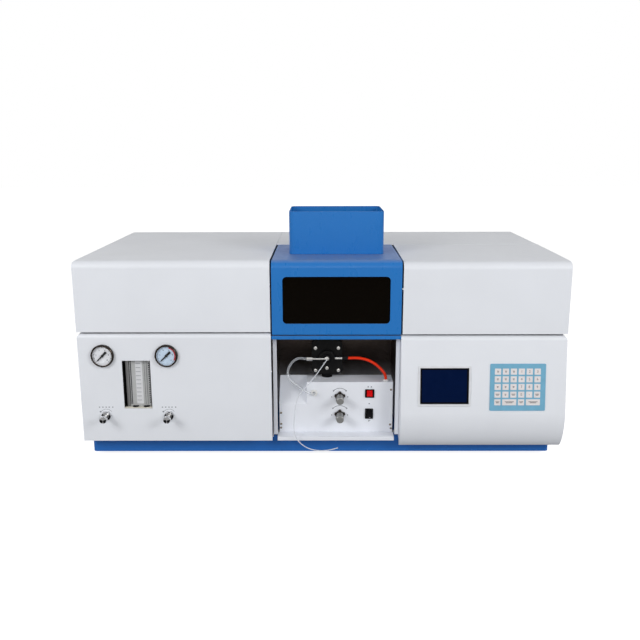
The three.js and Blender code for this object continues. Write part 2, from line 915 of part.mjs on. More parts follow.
const bushFlangeWidth = 2.4;
const bushFlangeRadius = bushHoleRadius + bushFlangeWidth;
const bushFlangeHeight = 3;
const neckLength = 8;
const airBush = add(
  "air_tube_bush",
  turnedGeometry(
    [
      [0, -neckLength],
      [bushHoleRadius, -neckLength],
      [bushHoleRadius, seat],
      [bushFlangeRadius, seat],
      [bushFlangeRadius, bushFlangeHeight],
      [bushBore, bushFlangeHeight],
      [bushBore, bushFlangeHeight - socketReach],
      [0, bushFlangeHeight - socketReach],
    ],
    towardsFront,
    [0, 0, 0],
  ),
  whitePlastic,
);
airBush.position.set(bush.x, boxFront, bush.z);
const grommetFlangeWidth = 1.3;
const grommetFlangeRadius = bushHoleRadius + grommetFlangeWidth;
const grommetHeight = 4;
const fuelGrommet = add(
  "fuel_hose_grommet",
  turnedGeometry(
    [
      [0, -neckLength],
      [bushHoleRadius, -neckLength],
      [bushHoleRadius, seat],
      [grommetFlangeRadius, seat],
      [grommetFlangeRadius, grommetHeight - knobBevel],
      [grommetFlangeRadius - knobBevel, grommetHeight],
      [0, grommetHeight],
    ],
    zAxis,
    [0, 0, 0],
  ),
  whitePlastic,
);
fuelGrommet.position.set(grommet.x, grommet.y, boxTop);

// Burner carriage: slides fore and aft on the deck behind the burner box
const carriageGap = 28; // behind the burner box
const carriageTail = 36; // in front of the liner's rear wall
const carriage = { half: 40, front: boxRear + carriageGap, rear: linerRear - carriageTail, plate: 8 };
const guideHalf = 14;
const guideWall = 6;
const guideHeight = 73;
const guideTop = deck + guideHeight;
const guideGap = 0.4;
const columnHalf = guideHalf - guideWall - guideGap;
const carriageBottom = deck;
add(
  "burner_carriage",
  cut(
    union(
      block(
        [burnerX - carriage.half, burnerX + carriage.half],
        [carriage.front, carriage.rear],
        [carriageBottom, carriageBottom + carriage.plate],
      ),
      block(
        [burnerX - guideHalf, burnerX + guideHalf],
        [beamY - guideHalf, beamY + guideHalf],
        [carriageBottom, guideTop],
      ),
    ),
    block(
      [burnerX - columnHalf - guideGap, burnerX + columnHalf + guideGap],
      [beamY - columnHalf - guideGap, beamY + columnHalf + guideGap],
      [carriageBottom + carriage.plate, guideTop + overrun],
    ),
  ),
  greyCasting,
);

// Mixing chamber lying fore and aft, with its neck up to the burner
const chamberRadius = 27;
const chamberTail = 32; // behind the beam
const chamberRear = beamY + chamberTail;
const capThickness = 14;
const capMargin = 6.2; // round the chamber
const capSize = 2 * (chamberRadius + capMargin);
const capBend = 13;
const capCrown = 12; // its top above the square round the chamber
const neckRadius = 19;
const chamberFront = capFront + capThickness + seat;
add(
  "mixing_chamber",
  union(
    rod(chamberRadius, yAxis, [burnerX, 0, chamberZ], chamberFront, chamberRear),
    rod(neckRadius, zAxis, [burnerX, beamY, 0], chamberZ, neckTop),
  ),
  blackPlastic,
);

// Lift post: a square column in the carriage's guide, with a saddle under the chamber
const saddleHalf = 22;
const saddleDrop = 13.5;
const saddleHeight = 38;
const saddleTop = chamberZ - saddleDrop;
const saddleBottom = saddleTop - saddleHeight;
const columnBottom = carriageBottom + carriage.plate + liftTravel + seat;
add(
  "lift_post",
  cut(
    union(
      block(
        [burnerX - columnHalf, burnerX + columnHalf],
        [beamY - columnHalf, beamY + columnHalf],
        [columnBottom, saddleTop],
      ),
      block(
        [burnerX - saddleHalf, burnerX + saddleHalf],
        [beamY - guideHalf, beamY + guideHalf],
        [saddleBottom, saddleTop],
      ),
    ),
    rod(chamberRadius + seat, yAxis, [burnerX, 0, chamberZ], chamberFront, chamberRear + overrun),
  ),
  greyCasting,
);

// End cap with a round boss, and what is screwed into it
const bossRadius = 17;
const bossReach = 10;
const bossRise = 4.3;
const bossZ = chamberZ + bossRise;
const nebulizerRadius = 9.6;
const capHalf = capSize / 2;
add(
  "chamber_end_cap",
  cut(
    union(
      alongY(
        rectangle(
          burnerX - capHalf,
          burnerX + capHalf,
          chamberZ - capHalf,
          chamberZ + capHalf + capCrown,
          capBend,
        ),
        capFront,
        capFront + capThickness,
      ),
      rod(bossRadius, towardsFront, [burnerX, capFront, bossZ], -thinSheet, bossReach),
    ),
    rod(nebulizerRadius + seat, towardsFront, [burnerX, capFront, bossZ], 0, bossReach + overrun),
  ),
  blackPlastic,
);

const noseRadius = 3.4;
const noseReach = 14;
const armRadius = 2;
const nutRadius = 4.4;
const nutInner = 31;
const nutOuter = 44;
const armDepth = 12.2;
const nebulizerY = capFront - seat;
const capillaryBore = capillaryRadius + socketGap;
const nebulizerFace = bossReach + thinSheet;
const armCentre = [burnerX, nebulizerY - armDepth, bossZ];
const towardsLeft = new THREE.Vector3(-1, 0, 0);
add(
  "nebulizer",
  cut(
    union(
      turned(
        [
          [0, 0],
          [nebulizerRadius, 0],
          [nebulizerRadius, nebulizerFace],
          [noseRadius, nebulizerFace],
          [noseRadius, noseReach],
          [0, noseReach],
        ],
        towardsFront,
        [burnerX, nebulizerY, bossZ],
      ),
      rod(armRadius, towardsLeft, armCentre, 0, nutInner + seat, smallSides),
      rod(nutRadius, towardsLeft, armCentre, nutInner, nutOuter, hexSides),
    ),
    rod(bushBore, towardsLeft, armCentre, nutOuter - socketReach, nutOuter + overrun, smallSides),
    rod(
      capillaryBore,
      towardsFront,
      [burnerX, nebulizerY, bossZ],
      noseReach - thinSheet,
      noseReach + overrun,
      smallSides,
    ),
  ),
  chrome,
);

// Fuel fitting on the right side of the boss, with the hose collar on its end
const fittingRadius = 3.2;
const collarRadius = 4.7;
const fittingReach = 32.6;
const collarReach = 45.3;
const fittingDepth = 6.5;
const fuelBore = fuelHoseRadius + socketGap;
const fittingCentre = [burnerX, capFront - fittingDepth, bossZ];
add(
  "fuel_fitting",
  turned(
    [
      [0, bossRadius + seat],
      [fittingRadius, bossRadius + seat],
      [fittingRadius, fittingReach],
      [collarRadius, fittingReach],
      [collarRadius, collarReach],
      [fuelBore, collarReach],
      [fuelBore, collarReach - socketReach],
      [0, collarReach - socketReach],
    ],
    xAxis,
    fittingCentre,
    smallSides,
  ),
  blackPlastic,
);

// Drain under the chamber, reaching down through the slot in the box top
const drainTop = chamberZ - chamberRadius * Math.cos(Math.asin(drainRadius / chamberRadius));
const drainLap = 6; // how deep it stays in the box at the top of its travel
const drainBottom = boxTop - thinSheet - liftTravel - drainLap;
add(
  "drain_spout",
  cut(
    rod(drainRadius, zAxis, [burnerX, drainY, 0], drainBottom, drainTop + overrun),
    rod(chamberRadius + seat, yAxis, [burnerX, 0, chamberZ], 0, chamberRear),
    block(
      [burnerX - capHalf, burnerX + capHalf],
      [0, capFront + capThickness + seat],
      [chamberZ - capHalf - seat, chamberZ],
    ),
  ),
  blackRubber,
);

// Burner head: a long slot burner on its neck
const headHalf = 55;
const headWidth = 34;
const headRidge = 14;
const ridgeHeight = 19;
const headShoulder = headTop - ridgeHeight;
const slotEnd = 5;
const slotHalf = headHalf - slotEnd;
const slotHalfWidth = 0.8;
const slotDepth = 8;
const tubeRadius = 13;
add(
  "burner_head",
  cut(
    union(
      alongX(
        [
          [beamY - headWidth / 2, headBottom],
          [beamY + headWidth / 2, headBottom],
          [beamY + headWidth / 2, headShoulder],
          [beamY + headRidge / 2, headTop],
          [beamY - headRidge / 2, headTop],
          [beamY - headWidth / 2, headShoulder],
        ],
        burnerX - headHalf,
        burnerX + headHalf,
      ),
      rod(tubeRadius, zAxis, [burnerX, beamY, 0], neckTop + seat, headBottom + seat),
    ),
    block(
      [burnerX - slotHalf, burnerX + slotHalf],
      [beamY - slotHalfWidth, beamY + slotHalfWidth],
      [headTop - slotDepth, headTop + overrun],
    ),
  ),
  titanium,
);

// Hoses and the sample capillary. The routes are real places, chosen point by point.
const hoseSides = 10;
const tubeSides = 8;
const hoseStepShare = 2.5; // step in hose diameters

function hose(name, radius, sides, points, material) {
  const path = new THREE.CatmullRomCurve3(points, false, "centripetal");
  const steps = Math.round(path.getLength() / (2 * radius * hoseStepShare));
  const section = new THREE.Shape();
  for (let i = 0; i < sides; i++) {
    const turn = (i * 2 * Math.PI) / sides;
    const a = radius * Math.cos(turn);
    const b = radius * Math.sin(turn);
    if (i === 0) section.moveTo(a, b);
    else section.lineTo(a, b);
  }
  section.closePath();
  const geometry = new THREE.ExtrudeGeometry(section, { steps, extrudePath: path });
  add(name, geometry, material);
}

const at = (x, y, z) => new THREE.Vector3(x, y, z);
const fuelEndX = burnerX + collarReach - socketReach + seat;
const fuelEndZ = boxTop + grommetHeight + seat;
hose(
  "fuel_hose",
  fuelHoseRadius,
  hoseSides,
  [
    at(fuelEndX, fittingCentre[1], bossZ),
    at(57, fittingCentre[1], bossZ),
    at(64, 51.5, 216),
    at(72, 51.4, 216.2),
    at(80, 51.2, 215.8),
    at(88, 50.8, 214.7),
    at(96, 50.1, 212.7),
    at(104, 49, 209.8),
    at(111, 47.6, 206.3),
    at(118, 45.8, 201.8),
    at(124.6, 43.6, 196.4),
    at(129.6, 41.6, 191.4),
    at(133.3, 40, 186.6),
    at(135.7, 39, 182),
    at(137.1, 38.6, 177.6),
    at(grommet.x, grommet.y, 174),
    at(grommet.x, grommet.y, fuelEndZ),
  ],
  redHose,
);

const airEndX = burnerX - nutOuter + socketReach - seat;
const airEndY = boxFront - bushFlangeHeight + socketReach - seat;
hose(
  "air_tube",
  airTubeRadius,
  tubeSides,
  [
    at(airEndX, armCentre[1], bossZ),
    at(-34, armCentre[1], bossZ),
    at(-39, 45.4, 216.5),
    at(-45, 45, 217.4),
    at(-51.5, 43.8, 217.2),
    at(-58, 41.8, 214.4),
    at(-64, 39, 209.6),
    at(-69, 35.6, 203),
    at(-72.2, 31.6, 195.2),
    at(-72.4, 27, 187.4),
    at(-69.4, 22, 180.4),
    at(-63.6, 17, 174.4),
    at(-56.2, 12.4, 169.2),
    at(-48, 8.2, 164.6),
    at(-40, 5.2, 160),
    at(-32.6, 4.2, 155.6),
    at(-25.8, 6, 151.4),
    at(-20.4, 11, 147.6),
    at(-17.4, 17.6, 145.2),
    at(bush.x, 24.6, bush.z),
    at(bush.x, airEndY, bush.z),
  ],
  clearPlastic,
);

const capillaryStart = nebulizerY - noseReach + thinSheet - seat;
hose(
  "sample_capillary",
  capillaryRadius,
  tubeSides,
  [
    at(burnerX, capillaryStart, bossZ),
    at(10.65, 41.1, 215.4),
    at(9.65, 38.4, 214.2),
    at(8.1, 36.4, 212.4),
    at(2.5, 31.5, 205.8),
    at(-12.6, 20, 187.2),
    at(-25.7, 9, 174.4),
    at(-39.9, -1, 161.2),
    at(-48.3, -4.6, 149),
    at(-54.3, -7, 132.6),
    at(-57.8, -8.8, 107.8),
    at(-59.3, -10, 85.6),
    at(-58, -10.4, 68.2),
    at(-52, -10, 52.3),
    at(-38.4, -9, 38.4),
    at(-23.5, -8.4, 30.6),
    at(-8.5, -8, 27.4),
    at(8.6, -8, 27.6),
    at(21.4, -8, 30),
    at(34.2, -8, 33.7),
  ],
  whitePlastic,
);

// Hood over the flame compartment, with its pane and the chimney
const hoodSideGap = 1.75;
const hoodDrop = 2.5;
const hoodBottom = lowerTop - hoodDrop;
const hoodBend = 16;
const hoodSideBend = 3;
const hoodLeft = bayLeft + hoodSideGap;
const hoodRight = bayRight - hoodSideGap;
const paneMargin = { left: 22.65, right: 23.25, bottom: 23, top: 33.5 };
const pane = {
  left: hoodLeft + paneMargin.left,
  right: hoodRight - paneMargin.right,
  bottom: hoodBottom + paneMargin.bottom,
  top: bodyTop - paneMargin.top,
};
const paneBend = 8.5;
const paneLap = 5.5;
const paneThickness = 3;
const chimneyMargin = { left: 33.75, right: 31.55, front: 88.5, rear: 15 };
const chimneyLeft = hoodLeft + chimneyMargin.left;
const chimneyRight = hoodRight - chimneyMargin.right;
const chimneyFront = chimneyMargin.front;
const chimneyRear = hoodDepth - chimneyMargin.rear;
const chimneyBend = 11;
const chimneyPlan = (inset) =>
  rectangle(
    chimneyLeft + inset,
    chimneyRight - inset,
    chimneyFront + inset,
    chimneyRear - inset,
    chimneyBend - inset,
  );
add(
  "hood",
  cut(
    cover(
      { left: hoodLeft, right: hoodRight, front: 0, rear: hoodDepth, bottom: hoodBottom, top: bodyTop },
      { frontTop: hoodBend, leftTop: hoodSideBend, rightTop: hoodSideBend },
      ["rear", "bottom"],
    ),
    block(
      [hoodLeft - overrun, hoodRight + overrun],
      [hoodFlange, hoodDepth + overrun],
      [hoodBottom - overrun, bodyTop - hoodFlange],
    ),
    windowCut(pane, paneBend),
    alongZ(chimneyPlan(thinSheet), bodyTop - hoodFlange, bodyTop + overrun),
  ),
  bluePaint,
);
add(
  "hood_window",
  alongY(
    rectangle(
      pane.left - paneLap,
      pane.right + paneLap,
      pane.bottom - paneLap,
      pane.top + paneLap,
      paneBend,
    ),
    sheet + seat,
    sheet + seat + paneThickness,
  ),
  smokedPane,
);
const chimneyFoot = bodyTop + seat;
add(
  "chimney",
  cut(
    alongZ(chimneyPlan(0), chimneyFoot, chimneyFoot + chimneyHeight),
    alongZ(chimneyPlan(thinSheet), chimneyFoot - overrun, chimneyFoot + chimneyHeight + overrun),
  ),
  bluePaint,
);

// Gauges: a flanged cup through the panel, a pointer on its dial and a glass
const gaugeLip = 3.3;
const gaugeGlassRadius = gaugeRadius - gaugeLip;
const gaugeProud = 9;
const gaugeRear = 34;
const dialHeight = 2.2;
const stemRadius = 6;
const stemRear = 48;
const glassThickness = 1.5;
const glassRecess = 0.6;
const pointerGap = 4.7;
const pointer = {
  hub: 2.2,
  length: gaugeGlassRadius - pointerGap,
  tail: 6.5,
  width: 1.8,
  tip: 0.6,
  tailWidth: 3,
  height: 4.2,
  thick: 0.8,
};
const pointerRest = THREE.MathUtils.degToRad(225); // anticlockwise from the right, seen from the front

const hubTop = pointer.height + pointer.thick + seat;
for (const [name, x] of [["air", airX], ["fuel", fuelX]]) {
  const group = new THREE.Group();
  group.position.set(x, 0, gaugeZ);
  spectrometer.add(group);
  add(
    `${name}_gauge_case`,
    turnedGeometry(
      [
        [0, -stemRear],
        [stemRadius, -stemRear],
        [stemRadius, -gaugeRear],
        [gaugeBodyRadius, -gaugeRear],
        [gaugeBodyRadius, seat],
        [gaugeRadius, seat],
        [gaugeRadius, gaugeProud - knobBevel],
        [gaugeRadius - knobBevel, gaugeProud],
        [gaugeGlassRadius + seat, gaugeProud],
        [gaugeGlassRadius + seat, dialHeight],
        [0, dialHeight],
      ],
      towardsFront,
      [0, 0, 0],
    ),
    chrome,
    group,
  );
  add(
    `${name}_gauge_needle`,
    union(
      rod(pointer.hub, towardsFront, [0, 0, 0], dialHeight + seat, hubTop, smallSides),
      alongY(
        [
          [-pointer.tail, -pointer.tailWidth / 2],
          [0, -pointer.width / 2],
          [pointer.length, -pointer.tip / 2],
          [pointer.length, pointer.tip / 2],
          [0, pointer.width / 2],
          [-pointer.tail, pointer.tailWidth / 2],
        ],
        -pointer.height - pointer.thick,
        -pointer.height,
      ),
    ),
    blackPlastic,
    group,
  ).rotation.y = -pointerRest;
  const glassTop = gaugeProud - glassRecess;
  add(
    `${name}_gauge_glass`,
    turnedGeometry(
      [
        [0, glassTop - glassThickness],
        [gaugeGlassRadius, glassTop - glassThickness],
        [gaugeGlassRadius, glassTop],
        [0, glassTop],
      ],
      towardsFront,
      [0, 0, 0],
    ),
    clearPlastic,
    group,
  );
}

// Flowmeter: a housing behind its window, a clear block with two bores and their floats
const flowDepth = 32;
const flowWall = 2;
const flowFront = sheet + seat;
const flowBottom = flowWindow.bottom + seat;
const flowBlockSetback = 12;
const flowBlockMargin = { left: 11, right: 4.2, rear: 4.3, top: 3.3 };
const flowBlock = {
  left: flowWindow.left + flowBlockMargin.left,
  right: flowWindow.right - flowBlockMargin.right,
  front: flowBlockSetback,
  rear: flowFront + flowDepth - flowBlockMargin.rear,
  height: flowWindow.top - flowBottom - flowBlockMargin.top,
};
const floatRadius = 2.8;
const floatGap = 0.6;
const flowBoreRadius = floatRadius + floatGap;
const floatHeight = 8;
const boreFloor = 14;
const boreY = (flowBlock.front + flowBlock.rear) / 2;
const boreBottom = flowBottom + boreFloor;
const boreInset = 11;
const borePitch = 20;
const boreXs = { air: flowBlock.left + boreInset, fuel: flowBlock.left + boreInset + borePitch };
add(
  "flowmeter_housing",
  cut(
    block(
      [flowWindow.left - flowWall, flowWindow.right + flowWall],
      [flowFront, flowFront + flowDepth + flowWall],
      [flowWindow.bottom - flowWall, flowWindow.top + flowWall],
    ),
    block(
      [flowWindow.left, flowWindow.right],
      [flowFront - overrun, flowFront + flowDepth],
      [flowWindow.bottom, flowWindow.top],
    ),
  ),
  blackPlastic,
);
add(
  "flowmeter_block",
  cut(
    block(
      [flowBlock.left, flowBlock.right],
      [flowBlock.front, flowBlock.rear],
      [flowBottom, flowBottom + flowBlock.height],
    ),
    ...Object.values(boreXs).map((x) =>
      rod(flowBoreRadius, zAxis, [x, boreY, boreBottom], 0, flowBlock.height, smallSides),
    ),
  ),
  clearPlastic,
);
for (const [name, x] of Object.entries(boreXs)) {
  const float = add(
    `${name}_flow_float`,
    turnedGeometry(
      [
        [0, 0],
        [floatRadius / 2, 0],
        [floatRadius, floatHeight / 2],
        [floatRadius, floatHeight],
        [0, floatHeight],
      ],
      zAxis,
      [0, 0, 0],
      smallSides,
    ),
    blackPlastic,
  );
  float.position.set(x, boreY, boreBottom + seat);
}

// Gas manifold behind the panel, and the needle valve knobs in its bushings
const manifold = { front: 14, rear: 36, half: 11, margin: 14 };
const valveBoreDepth = 16;
const bushingReach = 5;
const valveNutRadius = 8.5;
const valveNut = 3.6;
const bushing = (x) =>
  union(
    rod(bushingRadius, towardsFront, [x, 0, valveZ], -manifold.front - seat, bushingReach, smallSides),
    rod(valveNutRadius, towardsFront, [x, 0, valveZ], seat, valveNut, hexSides),
  );
const bushingBore = (x) =>
  rod(valveBore, towardsFront, [x, 0, valveZ], -valveBoreDepth, bushingReach + overrun, smallSides);
add(
  "gas_manifold",
  cut(
    union(
      block(
        [airX - manifold.margin, fuelX + manifold.margin],
        [manifold.front, manifold.rear],
        [valveZ - manifold.half, valveZ + manifold.half],
      ),
      bushing(airX),
      bushing(fuelX),
    ),
    bushingBore(airX),
    bushingBore(fuelX),
  ),
  zincPlate,
);
const valveReach = 31;
const valveStemGap = 0.5;
const valveStemRadius = valveBore - valveStemGap;
const valveStemDepth = 12;
const valveCollar = 13;
const valveKnobRadius = 7.6;
const valveKnobStep = 2.4;
const valveCollarRadius = valveKnobRadius - valveKnobStep;
for (const [name, x] of [["air_valve_knob", airX], ["fuel_valve_knob", fuelX]]) {
  const knob = add(
    name,
    turnedGeometry(
      [
        [0, -valveStemDepth],
        [valveStemRadius, -valveStemDepth],
        [valveStemRadius, bushingReach + seat],
        [valveCollarRadius, bushingReach + seat],
        [valveCollarRadius, valveCollar],
        [valveKnobRadius, valveCollar + knobBevel],
        [valveKnobRadius, valveReach - knobBevel],
        [valveKnobRadius - knobBevel, valveReach],
        [0, valveReach],
      ],
      towardsFront,
      [0, 0, 0],
    ),
    chrome,
  );
  knob.position.set(x, 0, valveZ);
}

// Screen and keypad on the control panel
const bezelFlange = 4.4;
const bezelProud = 2.5;
const bezelBend = 2;
const bezelDepth = 8;
const screenFront = 1.2;
const screenThickness = 3;
const grown = (opening, by, radius = 0) =>
  rectangle(opening.left - by, opening.right + by, opening.bottom - by, opening.top + by, radius);
add(
  "screen_bezel",
  leaned(
    cut(
      union(
        alongY(grown(screenOpening, bezelWall + bezelFlange, bezelBend), -bezelProud, -seat),
        alongY(grown(screenOpening, bezelWall), -bezelProud, bezelDepth),
      ),
      alongY(grown(screenOpening, 0), -bezelProud - overrun, bezelDepth + overrun),
    ),
  ),
  whitePlastic,
);
add(
  "screen",
  leaned(alongY(grown(screenOpening, -seat), screenFront, screenFront + screenThickness)),
  screenBlue,
);
const keypadRight = halfWidth - controlFree * keypadMarginShare;
const keypadArea = {
  left: keypadRight - keypadWidth,
  right: keypadRight,
  bottom: controlTop - keypadDrop - keypadHeight,
  top: controlTop - keypadDrop,
};
const keypadThickness = 1.2;
const keypadBend = 2.5;
add(
  "membrane_keypad",
  leaned(alongY(grown(keypadArea, 0, keypadBend), -seat - keypadThickness, -seat)),
  keypadBlue,
);

// Monochromator: a closed casting on two side plates, with its entrance tube to the beam hole
const monoMargin = { side: 38, bay: 43.5, front: 70, rear: 70, below: 42, above: 62 };
const mono = {
  left: monoMargin.side - halfWidth,
  right: coverLeftEnd - monoMargin.bay,
  front: monoMargin.front,
  rear: bodyDepth - monoMargin.rear,
  bottom: beamHeight - monoMargin.below,
  top: beamHeight + monoMargin.above,
  wall: 5,
};
const monoLeg = 12;
const monoTubeWall = 4;
const monoTubeRadius = beamHoleRadius + monoTubeWall;
add(
  "monochromator",
  cut(
    union(
      block([mono.left, mono.right], [mono.front, mono.rear], [mono.bottom, mono.top]),
      block([mono.left, mono.left + monoLeg], [mono.front, mono.rear], [deck, mono.top]),
      block([mono.right - monoLeg, mono.right], [mono.front, mono.rear], [deck, mono.top]),
      rod(monoTubeRadius, xAxis, [0, beamY, beamHeight], mono.right - mono.wall, coverLeftEnd),
    ),
    block(
      [mono.left + mono.wall, mono.right - mono.wall],
      [mono.front + mono.wall, mono.rear - mono.wall],
      [mono.bottom + mono.wall, mono.top - mono.wall],
    ),
    rod(
      beamHoleRadius,
      xAxis,
      [0, beamY, beamHeight],
      mono.right - mono.wall - overrun,
      coverLeftEnd + overrun,
    ),
  ),
  greyCasting,
);

// Lamp bracket, turret and hollow cathode lamp on the beam
const lampLength = 145;
const lampGap = 32.5; // from the liner to the lamp
const turretRim = 4;
const turret = {
  x: coverRightEnd + lampGap + lampLength,
  thickness: 12,
  orbit: 45,
  socket: 17,
  axle: 6,
  axleLength: 16,
};
const turretRadius = turret.orbit + turret.socket + turretRim;
const bracketGap = 6;
const bracketX = turret.x + turret.thickness + bracketGap;
const bracketPlate = 5;
const bracketFoot = 60;
const bracketHalf = 45;
const turretZ = beamHeight - turret.orbit;
const bracketRise = 24;
const bracketTop = turretZ + bracketRise;
const axleGap = 0.4;
add(
  "lamp_bracket",
  cut(
    union(
      block(
        [bracketX, bracketX + bracketPlate],
        [beamY - bracketHalf, beamY + bracketHalf],
        [deck, bracketTop],
      ),
      block(
        [bracketX + bracketPlate - bracketFoot, bracketX + bracketPlate],
        [beamY - bracketHalf, beamY + bracketHalf],
        [deck, deck + bracketPlate],
      ),
    ),
    rod(turret.axle + axleGap, xAxis, [bracketX, beamY, turretZ], -overrun, bracketPlate + overrun),
  ),
  greyCasting,
);
const socketCount = 4;
const sockets = [];
for (let i = 0; i < socketCount; i++) {
  const turn = (i * 2 * Math.PI) / socketCount;
  const y = beamY + turret.orbit * Math.sin(turn);
  const z = turretZ + turret.orbit * Math.cos(turn);
  sockets.push(rod(turret.socket, xAxis, [turret.x, y, z], -overrun, turret.thickness + overrun));
}
add(
  "lamp_turret",
  cut(
    union(
      rod(turretRadius, xAxis, [turret.x, beamY, turretZ], 0, turret.thickness),
      rod(
        turret.axle,
        xAxis,
        [turret.x, beamY, turretZ],
        turret.thickness - seat,
        turret.thickness + turret.axleLength,
      ),
    ),
    ...sockets,
  ),
  greyCasting,
);
const lampRadius = 19;
const lampStep = 4;
const lampWindowRadius = lampRadius - lampStep;
const lampWindowLength = 30;
const lampBase = 15;
const lampBaseRadius = turret.socket - seat - seat;
add(
  "hollow_cathode_lamp",
  turned(
    [
      [0, -lampLength],
      [lampWindowRadius, -lampLength],
      [lampWindowRadius, lampWindowLength - lampLength],
      [lampRadius, lampWindowLength - lampLength + lampRadius - lampWindowRadius],
      [lampRadius, -seat],
      [lampBaseRadius, -seat],
      [lampBaseRadius, lampBase],
      [0, lampBase],
    ],
    xAxis,
    [turret.x, beamY, beamHeight],
  ),
  clearPlastic,
);

// The frame of the part: the middle of the bench area under the object
const rearReach = seat + inletProud;
spectrometer.position.y = (valveReach - bodyDepth - rearReach) / 2;

export default spectrometer;
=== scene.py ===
"""Bench-top flame atomic absorption spectrometer: finishes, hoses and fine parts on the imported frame.

Sizes are in millimetres in the frame of the part's source: x from the middle of the width,
y from the front plane of the covers towards the rear, z from the bench. at() and span() convert.
"""

import json
import math
from collections import namedtuple

import bmesh
import bpy
from mathutils import Matrix, Vector

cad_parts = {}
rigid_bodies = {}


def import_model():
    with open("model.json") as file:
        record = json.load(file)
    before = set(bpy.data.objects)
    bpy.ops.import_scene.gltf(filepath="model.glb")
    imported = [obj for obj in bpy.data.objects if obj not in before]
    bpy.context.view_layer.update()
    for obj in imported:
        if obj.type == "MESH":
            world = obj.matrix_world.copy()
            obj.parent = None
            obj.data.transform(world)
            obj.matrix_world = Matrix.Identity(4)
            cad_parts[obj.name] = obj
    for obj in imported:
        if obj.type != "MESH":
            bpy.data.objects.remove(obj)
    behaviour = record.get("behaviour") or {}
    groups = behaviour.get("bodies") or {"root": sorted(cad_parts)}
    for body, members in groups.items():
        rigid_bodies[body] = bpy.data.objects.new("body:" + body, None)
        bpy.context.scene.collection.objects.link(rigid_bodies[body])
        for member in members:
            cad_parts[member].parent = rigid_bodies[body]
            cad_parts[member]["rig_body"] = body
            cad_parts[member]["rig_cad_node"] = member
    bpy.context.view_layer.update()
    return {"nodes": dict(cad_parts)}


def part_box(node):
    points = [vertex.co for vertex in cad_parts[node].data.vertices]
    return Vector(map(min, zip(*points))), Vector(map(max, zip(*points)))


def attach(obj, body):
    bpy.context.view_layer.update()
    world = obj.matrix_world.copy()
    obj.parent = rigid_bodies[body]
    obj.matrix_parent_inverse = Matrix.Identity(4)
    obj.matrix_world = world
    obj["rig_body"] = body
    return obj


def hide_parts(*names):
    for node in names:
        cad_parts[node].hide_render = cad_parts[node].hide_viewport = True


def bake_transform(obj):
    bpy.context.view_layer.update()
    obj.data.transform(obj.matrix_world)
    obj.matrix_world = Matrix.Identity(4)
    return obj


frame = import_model()

MM = 0.001
FRONT = 241.0  # from the covers' front plane to the middle of the frame
TOUCH = 0.02  # how near a corner lies to a plane that it is on
OVERRUN = 5.0  # how far a cut runs past the face that it opens
SEAT = 0.3  # gap between pieces that touch
WELD = MM / 500  # how near the doubles of a mesh lie, in metres

Span = namedtuple("Span", "x0 x1 y0 y1 z0 z1")


def at(x, y, z):
    """A place in metres in the row frame."""
    return Vector((x, y - FRONT, z)) * MM


def place_of(point):
    """The place in millimetres of a point in metres."""
    return Vector((point.x / MM, point.y / MM + FRONT, point.z / MM))


def span(node):
    """The box of a CAD node, in millimetres."""
    low, high = (place_of(corner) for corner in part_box(node))
    return Span(low.x, high.x, low.y, high.y, low.z, high.z)


def middle(node):
    box = span(node)
    return Vector(((box.x0 + box.x1) / 2, (box.y0 + box.y1) / 2, (box.z0 + box.z1) / 2))


# Camera, solved from the corners of the body in the photograph
CAMERA_PLACE = (0.003, -1.766, 0.668)
CAMERA_PITCH = math.radians(-13.13)
CAMERA_YAW = math.radians(0.25)
CAMERA_ROLL = math.radians(-0.13)
CAMERA_LENS = 42.68
CAMERA_SENSOR = 36.0


def make_camera():
    data = bpy.data.cameras.new("camera")
    data.sensor_fit = "HORIZONTAL"
    data.sensor_width = CAMERA_SENSOR
    data.lens = CAMERA_LENS
    camera = bpy.data.objects.new("camera", data)
    bpy.context.scene.collection.objects.link(camera)
    camera.matrix_world = (
        Matrix.Translation(CAMERA_PLACE)
        @ Matrix.Rotation(CAMERA_YAW, 4, "Z")
        @ Matrix.Rotation(math.pi / 2 + CAMERA_PITCH, 4, "X")
        @ Matrix.Rotation(CAMERA_ROLL, 4, "Z")
    )
    bpy.context.scene.camera = camera


make_camera()


# Shader trees


class Value:
    """A socket of a shader tree that takes part in Python sums."""

    def __init__(self, finish, socket):
        self.finish = finish
        self.socket = socket

    def sum(self, operation, first, second):
        return self.finish.node("ShaderNodeMath", {"operation": operation}, {0: first, 1: second})

    def __add__(self, other):
        return self.sum("ADD", self, other)

    def __radd__(self, other):
        return self.sum("ADD", other, self)

    def __sub__(self, other):
        return self.sum("SUBTRACT", self, other)

    def __rsub__(self, other):
        return self.sum("SUBTRACT", other, self)

    def __mul__(self, other):
        return self.sum("MULTIPLY", self, other)

    def __rmul__(self, other):
        return self.sum("MULTIPLY", other, self)


